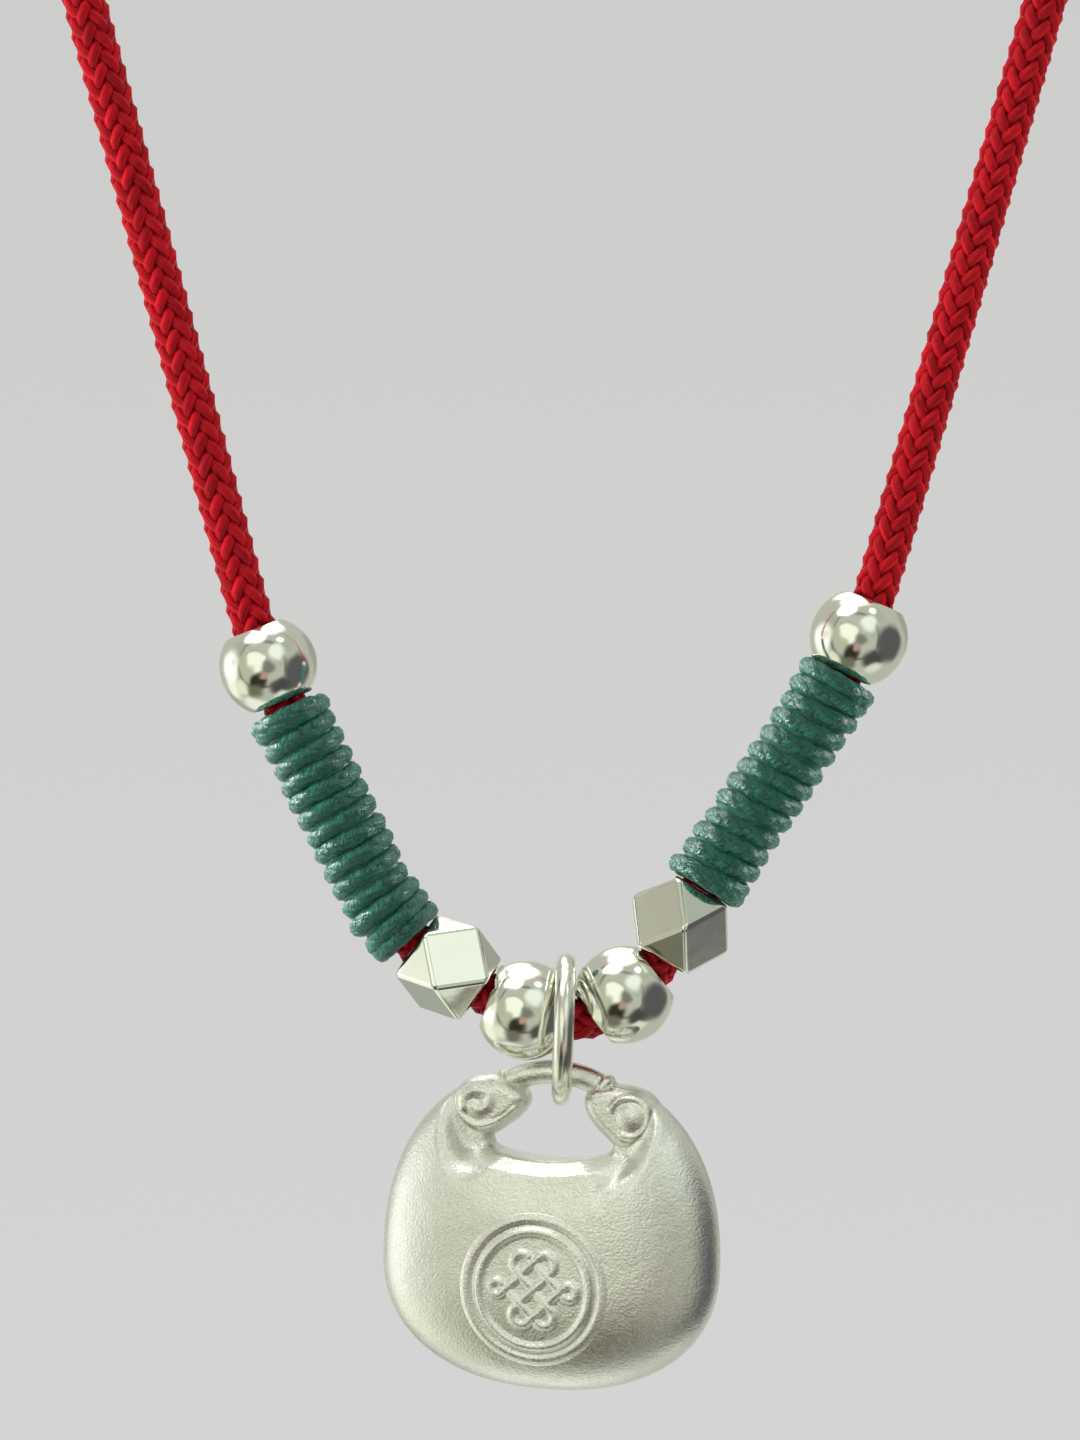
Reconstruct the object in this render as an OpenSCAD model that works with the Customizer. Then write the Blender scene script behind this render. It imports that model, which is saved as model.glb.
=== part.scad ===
// Longevity lock pendant on its cord necklace.
// A hollow silver lock hangs by a bar from a jump ring. The ring rides on a red braided cord
// between silver beads and green thread wraps, and a plain sleeve closes the cord at the nape.
// Millimetres, Z up, the front is -Y. The origin is the top of the loop, where the neck carries it.

/* [Cord] */
// Diameter of the braided cord
cord_d = 3.6; // [2.6:0.1:4]
// Room that the cord has in a round bead's hole, on the diameter
bore_play = 1; // [0.9:0.05:1.1]

/* [Clasp] */
// Diameter of the sleeve at the nape
clasp_d = 6; // [5:0.1:8]
// Length of the sleeve
clasp_len = 14; // [10:0.5:20]
// How deep each cord end goes into the sleeve
clasp_depth = 4; // [2:0.5:4.5]
// Room round the cord in the sleeve, on the diameter
clasp_play = 0.4; // [0.3:0.1:0.8]

/* [Round beads] */
// Diameter of a round bead
bead_d = 7.9; // [7.8:0.1:8.4]
// Length of a round bead between its flat ends
bead_len = 6.1; // [5.4:0.1:6.2]

/* [Faceted beads] */
// Width of the cube that the faceted bead is cut from
facet_w = 6.3; // [6.1:0.1:7]
// Room that the cord has in a faceted bead's hole, on the diameter
facet_play = 0.4; // [0.3:0.05:0.6]
// Turn of the left faceted bead about the cord, in degrees
facet_turn_left = 69; // [0:1:89]
// Turn of the right faceted bead about the cord, in degrees
facet_turn_right = 49; // [0:1:89]

/* [Thread wraps] */
// Diameter of the wrapping thread
thread_d = 1.48; // [1:0.02:1.7]
// Turns of thread in the left wrap
left_turns = 14; // [8:1:18]
// Turns of thread in the right wrap
right_turns = 13; // [8:1:18]
// Room between a wrap and the cord inside it, on the diameter
wrap_play = 0.4; // [0.3:0.1:0.6]

/* [Spacing] */
// Gap along the cord between a wrap and the beads at its ends
wrap_gap = 0.5; // [0.4:0.05:1]
// Gap along the cord between the left faceted bead and the round one
bend_gap_left = 0.75; // [0.7:0.05:1.2]
// Gap along the cord between the right faceted bead and the round one, where the bend is sharper
bend_gap_right = 1; // [0.9:0.05:1.4]
// Gap along the cord between the two round beads that the jump ring hangs between
lower_gap = 2.36; // [2.3:0.02:3.2]

/* [Jump ring] */
// Outer diameter of the jump ring
ring_d = 12.1; // [11:0.1:14]
// Diameter of its wire
wire_d = 1.6; // [1.2:0.1:2]
// How far the ring's centre hangs below its pivot on the cord
ring_drop = 1.4; // [1.2:0.1:1.8]
// Gap between the ring and the bead whose shoulder it lies on
shoulder_gap = 0.15; // [0.1:0.05:0.5]
// Lean of the ring to the side, in degrees
ring_lean = 2; // [0:0.5:4]

/* [Lock] */
// Width of the lock's body
lock_w = 27.6; // [24:0.2:32]
// Thickness of the belly, front to back
lock_t = 8.6; // [6:0.2:11]
// From the bar down to the level where the body is widest
belly_drop = 14.7; // [13:0.1:17]
// From the widest level up to the shoulders' crown
shoulder_h = 15.2; // [13:0.1:16]
// From the widest level down to the foot
foot_h = 10.2; // [9:0.05:13]
// Width of the window under the bar
window_w = 9.9; // [9:0.1:11.5]
// From the bar down to the lowest point of the window's edge
window_drop = 6.7; // [6:0.1:7.5]
// Thickness of the metal at the window's edge
rim_t = 2.5; // [1.8:0.1:3.2]
// Thickness of the body just under the window, where its edge is a steep bevel
brow_t = 7.6; // [5:0.1:8]
// Width of the rounding along the window's edge
rim_round = 1.1; // [0.6:0.1:1.6]
// Half width of the fold between the shoulders and the hollow round the window
fold_w = 7.8; // [7:0.1:8.6]
// From the bar down to the lower end of that hollow
fold_drop = 10; // [9:0.1:12]
// Depth of the crease along the fold
crease_depth = 0.25; // [0.1:0.05:0.4]
// Turn of the hanging lock about the upright, in degrees
lock_turn = 18; // [0:1:30]
// Roll of the hanging lock in its own plane, in degrees
lock_roll = 2; // [0:0.5:4]

/* [Bar and scrolls] */
// Diameter of the bar that the ring goes round
bar_d = 1.9; // [1.4:0.1:2.2]
// Width of the bar's arch between the scrolls
bar_span = 8.2; // [7.6:0.1:9.4]
// Rise of the bar's arch
bar_rise = 1.1; // [0.8:0.1:1.6]
// Gap between the bar and the ring that it hangs in
bar_gap = 0.12; // [0.1:0.02:0.3]
// Diameter of the collars where the bar is soldered to the scrolls
ferrule_d = 2.35; // [2.2:0.05:2.8]
// Diameter of a scroll's curl
scroll_d = 4.8; // [4:0.1:5.4]
// Thickness of a scroll
scroll_t = 3.3; // [2.8:0.1:4]
// How much lower the right scroll sits than the left one
scroll_step = 0.4; // [0:0.1:0.8]
// Width of the raised line that draws the curl
curl_w = 0.8; // [0.5:0.1:1]

/* [Medallion] */
// Diameter of the outer ring, along its crest
medal_d = 11.1; // [10:0.1:12.5]
// Diameter of the inner ring, along its crest
inner_d = 9.1; // [8:0.1:9.6]
// Width of the raised lines
ridge_w = 0.5; // [0.3:0.05:0.7]
// Height of the raised lines
ridge_h = 0.3; // [0.15:0.05:0.5]
// From the bar down to the medallion's centre
medal_drop = 16.7; // [15.5:0.1:17.5]
// Distance between neighbouring lines of the knot
knot_step = 1.55; // [1.2:0.05:1.7]

/* [Hidden] */

cord_red = [0.62, 0.04, 0.08];
thread_green = [0.12, 0.36, 0.32];
silver = [0.85, 0.86, 0.83];
satin_silver = [0.8, 0.81, 0.76];

// The cord's route in its plane, as X and Z, from the sleeve's left socket round to its right one
ROUTE = [
    [-3.5, 0], [-9, 0], [-20, -2.8], [-37.5, -14], [-49.5, -31.5], [-53.6, -51], [-50.8, -67.4],
    [-44.1, -91.2], [-31, -139], [-26, -158], [-24.1, -165], [-23.1, -167.9], [-21.4, -171.4],
    [-17.1, -180.3], [-15.3, -184], [-13.6, -187], [-11.5, -189.5], [-9, -191.3], [-6.3, -193.1],
    [-3.2, -194.9], [0, -195.6], [3.3, -195], [6.1, -192.9], [8.1, -190.1], [9.6, -187.1],
    [11.3, -184.5], [18, -174.5], [21.6, -169.1], [23.1, -166.1], [24.3, -162.9], [26.2, -156.5],
    [37.9, -115.4], [44.7, -91.5], [51.6, -67.4], [54.6, -51], [50.5, -31.5], [38.5, -14],
    [20.5, -2.8], [9, 0], [3.5, 0]];
// The route point that the jump ring goes round
RING_POINT = 20;
cord_sides = 8;
cord_steps = 2;
station_steps = 12;

// Exponents of the body's outline, above and below its widest level
shoulder_pow = 2.3;
foot_pow = 2.25;
// Exponent of the puffed front: the larger, the flatter the belly
dome_pow = 3;
// Where the body's two arms end under the scrolls, in degrees of the outline
arm_angle = 150;
arm_steps = 36;
body_steps = 13;
// The window's edge from its lowest point up one side: way, share of half width, share of drop
WINDOW = [[0, 0, 1], [0.15, 0.42, 0.98], [0.3, 0.82, 0.925], [0.4, 0.98, 0.86],
    [0.5, 1.01, 0.77], [0.65, 1, 0.6], [0.8, 0.97, 0.4], [0.9, 0.93, 0.25], [1, 0.88, 0.1]];
// Spread of the crease, and where the front rises beyond it, as shares of the fold's reach
crease_spread = 0.08;
side_rise = [0.86, 1.22];
middle_rise = [0.48, 1.32];
// Angles round the window's middle, from straight down, between which the smooth middle
// turns into the folded side
fold_from = 42;
fold_to = 68;

wire_r = wire_d / 2;
ring_mid_r = ring_d / 2 - wire_r;
ring_inner_r = ring_mid_r - wire_r;
ring_rise = ring_mid_r - ring_drop;
// Along the cord, from the ring to the bead whose shoulder it touches
ring_seat = sqrt(pow(bead_d / 2 + wire_r + shoulder_gap, 2) - pow(ring_rise, 2));

// The cord is limp, so its route is a spline that the points draw towards themselves
FIRST = 2 * ROUTE[0] - ROUTE[1];
LAST = 2 * ROUTE[len(ROUTE) - 1] - ROUTE[len(ROUTE) - 2];
PULLS = [FIRST, each ROUTE, LAST];
function on_route(i, t) = let (u = 1 - t)
    (u * u * u * PULLS[i] + (3 * t * t * t - 6 * t * t + 4) * PULLS[i + 1]
    + (3 * u * u * u - 6 * u * u + 4) * PULLS[i + 2] + t * t * t * PULLS[i + 3]) / 6;
function path(steps) = [
    for (i = [0:len(ROUTE) - 2], k = [0:steps - 1]) on_route(i, k / steps), ROUTE[len(ROUTE) - 1]];

// Lengths along the cord, counted from the jump ring: minus is left, plus is right
fine = path(station_steps);
run_up = [for (i = 0, s = 0; i < len(fine); s = s + (i + 1 < len(fine) ? norm(fine[i + 1] - fine[i]) : 0),
    i = i + 1) s];
ring_s = run_up[RING_POINT * station_steps];
across = [for (i = [0:len(fine) - 1]) [run_up[i] - ring_s, fine[i][0]]];
upward = [for (i = [0:len(fine) - 1]) [run_up[i] - ring_s, fine[i][1]]];
function at(s) = [lookup(s, across), lookup(s, upward)];
function lean_at(s, half) = let (d = at(s + half) - at(s - half)) atan2(d[0], d[1]);
// A stiff piece on a bend sits between the cord's middle and its ends
function seat(s, half) = (at(s) + (at(s + half) + at(s - half)) / 2) / 2;
function normal_at(s) = let (d = at(s + 0.1) - at(s - 0.1)) [-d[1], d[0]] / norm(d);

lower_left_s = -ring_seat;
lower_right_s = lower_left_s + bead_len + lower_gap;
to_facet = (bead_len + facet_w) / 2;
facet_left_s = lower_left_s - to_facet - bend_gap_left;
facet_right_s = lower_right_s + to_facet + bend_gap_right;
wrap_left_s = facet_left_s - facet_w / 2 - wrap_gap;
wrap_right_s = facet_right_s + facet_w / 2 + wrap_gap;
left_len = left_turns * thread_d;
right_len = right_turns * thread_d;
to_upper = wrap_gap + bead_len / 2;
upper_left_s = wrap_left_s - left_len - to_upper;
upper_right_s = wrap_right_s + right_len + to_upper;

// The ring's pivot is level with the left bead's centre, so it keeps its gap as it swings
lower_left_at = seat(lower_left_s, bead_len / 2);
ring_pivot = lower_left_at + ring_seat * [cos(ring_lean), -sin(ring_lean)];
ring_down = [-sin(ring_lean), -cos(ring_lean)];
bar_at = ring_pivot + (ring_drop + ring_inner_r - bar_gap - bar_d / 2) * ring_down;
// How far right of the arch's crown the ring takes the bar
crown_shift = 0.45;
bar_r = (bar_span * bar_span / 4 + bar_rise * bar_rise) / (2 * bar_rise);

// Turns one ring of points into the faces of a tube that ends in two caps
function tube_faces(rings, sides) = concat(
    [for (r = [0:rings - 2], k = [0:sides - 1], h = [0, 1])
        let (a = r * sides + k, b = r * sides + (k + 1) % sides)
        h == 0 ? [a, a + sides, b] : [b, a + sides, b + sides]],
    [[for (k = [0:sides - 1]) k]],
    [[for (k = [sides - 1:-1:0]) (rings - 1) * sides + k]]);

// A point at distance r and angle a round the cord at length s
function round_cord(s, r, a) = let (c = at(s), n = normal_at(s))
    [c[0] + r * cos(a) * n[0], -r * sin(a), c[1] + r * cos(a) * n[1]];

module braided_cord() {
    centres = path(cord_steps);
    last = len(centres) - 1;
    points = [for (i = [0:last])
        let (d = centres[min(last, i + 1)] - centres[max(0, i - 1)], n = [-d[1], d[0]] / norm(d))
        for (k = [0:cord_sides - 1])
            let (a = 360 * (k + 0.5) / cord_sides, r = cord_d / 2)
            [centres[i][0] + r * cos(a) * n[0], -r * sin(a), centres[i][1] + r * cos(a) * n[1]]];
    color(cord_red) polyhedron(points, tube_faces(last + 1, cord_sides), convexity = 10);
}

// Sleeve at the nape with a blind socket for each end of the cord
module cord_clasp() {
    rounding = clasp_d / 6;
    socket_x = -ROUTE[0][0];
    end_gap = clasp_len / 2 - clasp_depth - socket_x;
    color(silver) difference() {
        rotate([0, 90, 0]) rotate_extrude($fn = 64) polygon([
            [0, -clasp_len / 2], [clasp_d / 2 - rounding, -clasp_len / 2],
            [clasp_d / 2, rounding - clasp_len / 2], [clasp_d / 2, clasp_len / 2 - rounding],
            [clasp_d / 2 - rounding, clasp_len / 2], [0, clasp_len / 2]]);
        for (side = [-1, 1])
            translate([side * (clasp_len / 2 - (clasp_depth - end_gap) / 2 + 0.1), 0, 0])
                rotate([0, 90, 0])
                    cylinder(d = cord_d + clasp_play, h = clasp_depth - end_gap + 0.2, center = true, $fn = 48);
    }
}

// Places a piece whose hole runs along Z on the cord at length s
module on_cord(s, half) {
    c = seat(s, half);
    translate([c[0], 0, c[1]]) rotate([0, lean_at(s, half), 0]) children();
}

module round_bead(s) {
    color(silver) on_cord(s, bead_len / 2) difference() {
        intersection() {
            sphere(d = bead_d, $fn = 64);
            cube([2 * bead_d, 2 * bead_d, bead_len], center = true);
        }
        cylinder(d = cord_d + bore_play, h = 2 * bead_d, center = true, $fn = 48);
    }
}

// Cube with its corners cut to the middle of its edges, turned about the cord by an angle
module faceted_bead(s, turn) {
    color(silver) on_cord(s, facet_w / 2) rotate([0, 0, turn]) difference() {
        intersection() {
            cube(facet_w, center = true);
            polyhedron(
                facet_w * [[1, 0, 0], [0, 1, 0], [-1, 0, 0], [0, -1, 0], [0, 0, 1], [0, 0, -1]],
                [[1, 0, 4], [2, 1, 4], [3, 2, 4], [0, 3, 4], [0, 1, 5], [1, 2, 5], [2, 3, 5], [3, 0, 5]]);
        }
        cylinder(d = cord_d + facet_play, h = 2 * facet_w, center = true, $fn = 48);
    }
}

// Close turns of thread round the cord: a ribbed wall outside, a smooth one inside
module thread_wrap(from, turns) {
    sides = 12;
    inner_rings = 8;
    inner_r = (cord_d + wrap_play) / 2;
    crest = inner_r + thread_d * 0.86;
    groove = inner_r + thread_d * 0.66;
    steps = concat([for (t = [0:turns - 1], k = [[0, groove], [0.28, crest], [0.72, crest]])
        [(t + k[0]) * thread_d, k[1]]], [[turns * thread_d, groove]]);
    outer_count = len(steps) * sides;
    outside = [for (p = steps, k = [0:sides - 1]) round_cord(from + p[0], p[1], 360 * k / sides)];
    inside = [for (i = [0:inner_rings - 1], k = [0:sides - 1])
        round_cord(from + turns * thread_d * i / (inner_rings - 1), inner_r, 360 * k / sides)];
    walls = concat(
        [for (r = [0:len(steps) - 2], k = [0:sides - 1], h = [0, 1])
            let (a = r * sides + k, b = r * sides + (k + 1) % sides)
            h == 0 ? [a, a + sides, b] : [b, a + sides, b + sides]],
        [for (r = [0:inner_rings - 2], k = [0:sides - 1], h = [0, 1])
            let (a = outer_count + r * sides + k, b = outer_count + r * sides + (k + 1) % sides)
            h == 0 ? [b, a + sides, a] : [b + sides, a + sides, b]]);
    ends = [for (e = [[0, outer_count, 0], [(len(steps) - 1) * sides, outer_count + (inner_rings - 1) * sides, 1]],
        k = [0:sides - 1], h = [0, 1])
        let (n = (k + 1) % sides, a = e[0] + k, b = e[0] + n, c = e[1] + k, d = e[1] + n,
            face = h == 0 ? [a, b, c] : [b, d, c])
        e[2] == 0 ? face : [face[2], face[1], face[0]]];
    color(thread_green) polyhedron(points, concat(walls, ends), convexity = 10);
    points = concat(outside, inside);
}

module jump_ring() {
    centre = ring_pivot + ring_drop * ring_down;
    color(silver) translate([centre[0], 0, centre[1]]) rotate([0, 90 + ring_lean, 0])
        rotate_extrude($fn = 96) translate([ring_mid_r, 0]) circle(d = wire_d, $fn = 32);
}

// The body's outline at angle a: 0 is the foot, 90 the widest level, 180 the crown
function outline(a) = let (low = a < 90, e = 2 / (low ? foot_pow : shoulder_pow))
    [lock_w / 2 * pow(sin(a), e), (low ? -foot_h : shoulder_h) * pow(abs(cos(a)), e) - belly_drop];
function window_edge(way) =
    [window_w / 2 * lookup(way, [for (r = WINDOW) [r[0], r[1]]]),
        -window_drop * lookup(way, [for (r = WINDOW) [r[0], r[2]]])];
function ease(v) = let (u = max(0, min(1, v))) u * u * (3 - 2 * u);

// How far out towards the outline a point of the body lies, from 0 to 1
function outness(x, z) = let (h = z + belly_drop, low = h < 0, e = low ? foot_pow : shoulder_pow)
    pow(pow(abs(x) / (lock_w / 2), e) + pow(abs(h) / (low ? foot_h : shoulder_h), e), 1 / e);
// How far out of the hollow a point lies: 1 is the fold between the hollow and the shoulder
function reach(x, z) = let (mid = window_drop / 2) norm([x / fold_w, (z + mid) / (fold_drop - mid)]);
// Half the body's thickness over a point of its front
function puff(x, z) = let (
    mid = window_drop / 2,
    full = lock_t / 2 * sqrt(max(0, 1 - pow(outness(x, z), dome_pow))),
    f = reach(x, z),
    side = ease((atan2(abs(x), -(z + mid)) - fold_from) / (fold_to - fold_from)),
    ramp = middle_rise + (side_rise - middle_rise) * side,
    rim = (brow_t + (rim_t - brow_t) * side) / 2,
    crease = crease_depth * exp(-pow((f - 1) / crease_spread, 2)) * side)
    min(full, rim + (full - rim) * ease((f - ramp[0]) / (ramp[1] - ramp[0])) - crease);

// The puffed body, swept round the window from one arm's end to the other
module lock_body() {
    spread = [for (k = [0:body_steps]) (1 - cos(180 * k / body_steps)) / 2];
    sides = 2 * body_steps;
    function cut(way, side) = let (
        a = window_edge(way), b = outline(way * arm_angle), width = norm(b - a),
        row = [for (t = spread) let (
            p = a + (b - a) * t, round = min(1, t * width / rim_round),
            h = (t == 1 ? 0 : puff(p[0], p[1])) * sqrt(1 - pow(1 - round, 2)))
            [side * p[0], h, p[1]]])
        [for (k = [0:sides - 1]) k <= body_steps
            ? [row[k][0], -row[k][1], row[k][2]]
            : [row[sides - k][0], row[sides - k][1], row[sides - k][2]]];
    points = [for (i = [-arm_steps:arm_steps]) each cut(abs(i) / arm_steps, i < 0 ? -1 : 1)];
    polyhedron(points, tube_faces(2 * arm_steps + 1, sides), convexity = 10);
}

// A raised line on the body's front along points given as X and Z
module ridge(points, height) {
    sides = 5;
    last = len(points) - 1;
    sunk = 0.35;
    sections = [for (i = [0:last])
        let (d = points[min(last, i + 1)] - points[max(0, i - 1)], n = [-d[1], d[0]] / norm(d),
            p = points[i], w = ridge_w / 2, y = puff(p[0], p[1]))
        each [for (c = [[1, -sunk], [0.9, 0.35 * height], [0, height], [-0.9, 0.35 * height], [-1, -sunk]])
            [p[0] + c[0] * w * n[0], -y - c[1], p[1] + c[0] * w * n[1]]]];
    polyhedron(sections, tube_faces(last + 1, sides), convexity = 6);
}

function arc(centre, r, from, to, count) =
    [for (i = [0:count]) let (a = from + (to - from) * i / count) centre + r * [cos(a), sin(a)]];

// An endless knot: three lines cross three others, and their ends turn back in round loops
module knot() {
    reach = knot_step * 1.35;
    middle = [0, -medal_drop];
    function slant(points) = [for (p = points)
        middle + [p[0] * cos(45) - p[1] * sin(45), p[0] * sin(45) + p[1] * cos(45)]];
    function swap(points) = [for (p = points) [p[1], p[0]]];
    line_steps = 6;
    straight = [for (k = [-1, 0, 1])
        [for (i = [0:line_steps]) [k * knot_step, reach * (2 * i / line_steps - 1)]]];
    loops = [
        arc([-knot_step / 2, reach], knot_step / 2, 180, 0, 6),
        arc([knot_step / 2, -reach], knot_step / 2, 180, 360, 6)];
    corner = arc([reach, reach], reach - knot_step, 180, -90, 9);
    for (line = concat(straight, loops)) {
        ridge(slant(line), ridge_h);
        ridge(slant(swap(line)), ridge_h);
    }
    ridge(slant(corner), ridge_h);
    ridge(slant(-1 * corner), ridge_h);
}

module medallion() {
    turns = 36;
    for (ring = [[medal_d, 0.85 * ridge_h], [inner_d, ridge_h]])
        for (half = [0, 180])
            ridge([for (i = [0:turns / 2 + 1])
                [0, -medal_drop] + ring[0] / 2 * [cos(half + 360 * i / turns), sin(half + 360 * i / turns)]],
                ring[1]);
    knot();
}

// One scroll: a rounded leaf beside the bar, with a raised line that curls in to its eye
module scroll(side) {
    centre = [bar_span / 2 + 1.75, -0.5 * scroll_d - (side > 0 ? scroll_step : 0)];
    lip = [bar_span / 2 - 0.35, -0.45 * scroll_d];
    bevel = 0.9;
    hull() {
        for (layer = [[scroll_d, scroll_t - bevel], [scroll_d - bevel, scroll_t]])
            translate([side * centre[0], 0, centre[1]]) rotate([90, 0, 0])
                cylinder(d = layer[0], h = layer[1], center = true, $fn = 28);
        translate([side * lip[0], 0, lip[1]]) scale([1, 0.85, 1])
            sphere(d = scroll_d * 0.62, $fn = 16);
    }
    steps = 11;
    eye_turn = 250;
    turn_in = 450;
    function curl(i) = let (t = i / steps, a = eye_turn - turn_in * t, r = (scroll_d - curl_w) / 2 * (1 - 0.72 * t))
        [side * (centre[0] - r * cos(a)), centre[1] + r * sin(a)];
    for (face = [-1, 1], i = [0:steps - 1]) hull() for (p = [curl(i), curl(i + 1)])
        translate([p[0], face * (scroll_t - curl_w / 3) / 2, p[1]]) sphere(d = curl_w, $fn = 8);
}

module bar() {
    half = asin(bar_span / 2 / bar_r);
    translate([0, 0, -bar_r]) rotate([90, 0, 0]) {
        rotate([0, 0, 88 - half]) rotate_extrude(angle = 2 * half + 4, $fn = 96)
            translate([bar_r, 0]) circle(d = bar_d, $fn = 18);
        for (side = [-1, 1])
            rotate([0, 0, 90 - side * (half - 1)]) translate([bar_r, 0, 0]) rotate([90, 0, 0])
                cylinder(d = ferrule_d, h = 0.7, center = true, $fn = 24);
    }
}

// The body, scrolls, bar and raised medallion are soldered into one piece
module lock() {
    color(satin_silver) translate([bar_at[0], 0, bar_at[1]])
        rotate([0, 0, -lock_turn]) rotate([0, lock_roll, 0]) translate([-crown_shift, 0, 0]) union() {
            lock_body();
            for (side = [-1, 1]) scroll(side);
            bar();
            medallion();
        }
}

module upper_bead_left() { round_bead(upper_left_s); }
module upper_bead_right() { round_bead(upper_right_s); }
module thread_wrap_left() { thread_wrap(wrap_left_s - left_len, left_turns); }
module thread_wrap_right() { thread_wrap(wrap_right_s, right_turns); }
module faceted_bead_left() { faceted_bead(facet_left_s, facet_turn_left); }
module faceted_bead_right() { faceted_bead(facet_right_s, facet_turn_right); }
module lower_bead_left() { round_bead(lower_left_s); }
module lower_bead_right() { round_bead(lower_right_s); }

braided_cord();
cord_clasp();
upper_bead_left();
upper_bead_right();
thread_wrap_left();
thread_wrap_right();
faceted_bead_left();
faceted_bead_right();
lower_bead_left();
lower_bead_right();
jump_ring();
lock();
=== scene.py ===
"""A satin silver lock pendant on a red braided cord necklace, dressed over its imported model.

Sizes are in millimetres until a mesh is made, and every mesh is in metres in the model's frame.
"""

import logging
import math
from dataclasses import dataclass, field, replace
from enum import Enum
from typing import Sequence

import bmesh
import bpy
import numpy as np
from bpy.types import ID, Material, Node, NodeSocket, NodeTree, Object
from mathutils import Matrix, Vector


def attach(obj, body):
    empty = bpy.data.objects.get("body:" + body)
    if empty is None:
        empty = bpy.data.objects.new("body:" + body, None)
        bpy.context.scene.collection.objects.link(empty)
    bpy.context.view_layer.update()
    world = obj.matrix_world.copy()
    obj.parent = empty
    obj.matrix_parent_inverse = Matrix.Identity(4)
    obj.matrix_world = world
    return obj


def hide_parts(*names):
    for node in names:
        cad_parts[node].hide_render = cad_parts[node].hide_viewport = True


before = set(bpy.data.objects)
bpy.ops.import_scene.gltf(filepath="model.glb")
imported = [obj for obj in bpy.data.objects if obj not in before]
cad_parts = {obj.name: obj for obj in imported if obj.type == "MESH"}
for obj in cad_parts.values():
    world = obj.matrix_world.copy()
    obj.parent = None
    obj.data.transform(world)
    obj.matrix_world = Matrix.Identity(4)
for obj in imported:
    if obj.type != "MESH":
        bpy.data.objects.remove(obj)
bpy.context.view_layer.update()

LOG = logging.getLogger("necklace")
MM = 0.001
# Farther than any point lies from a line, and how close two points are one, both in millimetres
FAR = 99.0
SAME_POINT = 0.0005
# The values on a yarn's points that its finish reads
YARN_VALUES = ("along", "around", "strand")
Array = np.ndarray
Pair = tuple[float, float]
Triple = tuple[float, float, float]
Color = tuple[float, float, float, float]
Points = tuple[Pair, ...]


class Side(Enum):
    """A side of the necklace as the viewer sees it."""

    LEFT = -1
    RIGHT = 1


class Kind(Enum):
    """The input kinds of a node group, by their socket types."""

    NUMBER = "NodeSocketFloat"
    COUNT = "NodeSocketInt"
    VECTOR = "NodeSocketVector"
    SHAPE = "NodeSocketGeometry"
    MATERIAL = "NodeSocketMaterial"


# ---------------------------------------------------------------- meshes


def link_object(name: str, data: ID) -> Object:
    """Makes an object from its data and links it to the scene."""
    made = bpy.data.objects.new(name, data)
    bpy.context.scene.collection.objects.link(made)
    return made


def even_angles(count: int) -> Array:
    """Divides a full turn into even steps."""
    return np.arange(count) * 2 * math.pi / count


def mesh_object(
    name: str,
    points: Array,
    faces: Sequence[Sequence[int]],
    edges: Sequence[Sequence[int]] = (),
    smooth: bool = True,
) -> Object:
    """Makes an object from points in millimetres.

    Args:
        name: The object's name.
        points: One row of X, Y, Z for each vertex.
        faces: Vertex numbers of each face.
        edges: Vertex numbers of loose edges.
        smooth: Whether the faces are shaded smooth.

    Returns:
        The new object, linked to the scene.
    """
    mesh = bpy.data.meshes.new(name)
    mesh.from_pydata([tuple(p) for p in np.asarray(points, float) * MM], list(edges), list(faces))
    if faces and smooth:
        mesh.polygons.foreach_set("use_smooth", [True] * len(mesh.polygons))
    mesh.update()
    return link_object(name, mesh)


def add_values(made: Object, name: str, values: Array) -> None:
    """Stores a number or a vector on every vertex of an object."""
    values = np.asarray(values, np.float32)
    kind = "FLOAT" if values.ndim == 1 else "FLOAT_VECTOR"
    layer = made.data.attributes.new(name, kind, "POINT")
    layer.data.foreach_set("value" if values.ndim == 1 else "vector", values.ravel())


def blank_values(made: Object) -> None:
    """Stores zeros on every vertex for the values that a yarn's finish reads."""
    for name in YARN_VALUES:
        add_values(made, name, np.zeros(len(made.data.vertices)))


def ring_faces(rings: int, sides: int, wrap: bool = False) -> list[tuple[int, int, int, int]]:
    """Joins rings of points into faces.

    Args:
        rings: The number of rings.
        sides: The points in each closed ring.
        wrap: Whether the last ring joins the first one.

    Returns:
        The faces, one four-sided face for each gap.
    """
    faces = []
    for r in range(rings if wrap else rings - 1):
        a, b = r * sides, (r + 1) % rings * sides
        faces += [(a + k, b + k, b + (k + 1) % sides, a + (k + 1) % sides) for k in range(sides)]
    return faces


def mend_normals(made: Object, merge: float = 0.0) -> None:
    """Merges doubled points where asked to, and turns every face outwards."""
    work = bmesh.new()
    work.from_mesh(made.data)
    if merge:
        bmesh.ops.remove_doubles(work, verts=work.verts, dist=merge * MM)
    bmesh.ops.recalc_face_normals(work, faces=work.faces)
    work.to_mesh(made.data)
    work.free()


def tube(name: str, points: Array, rings: int, sides: int) -> Object:
    """Makes a tube from rings of points, closed with one face at each end.

    Args:
        name: The object's name.
        points: The points in millimetres, ring after ring.
        rings: The number of rings.
        sides: The points in each ring.

    Returns:
        The new object, with its faces turned outwards.
    """
    ends = [range(sides), range((rings - 1) * sides, rings * sides)]
    made = mesh_object(name, points, ring_faces(rings, sides) + [tuple(end) for end in ends])
    mend_normals(made)
    return made


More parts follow.
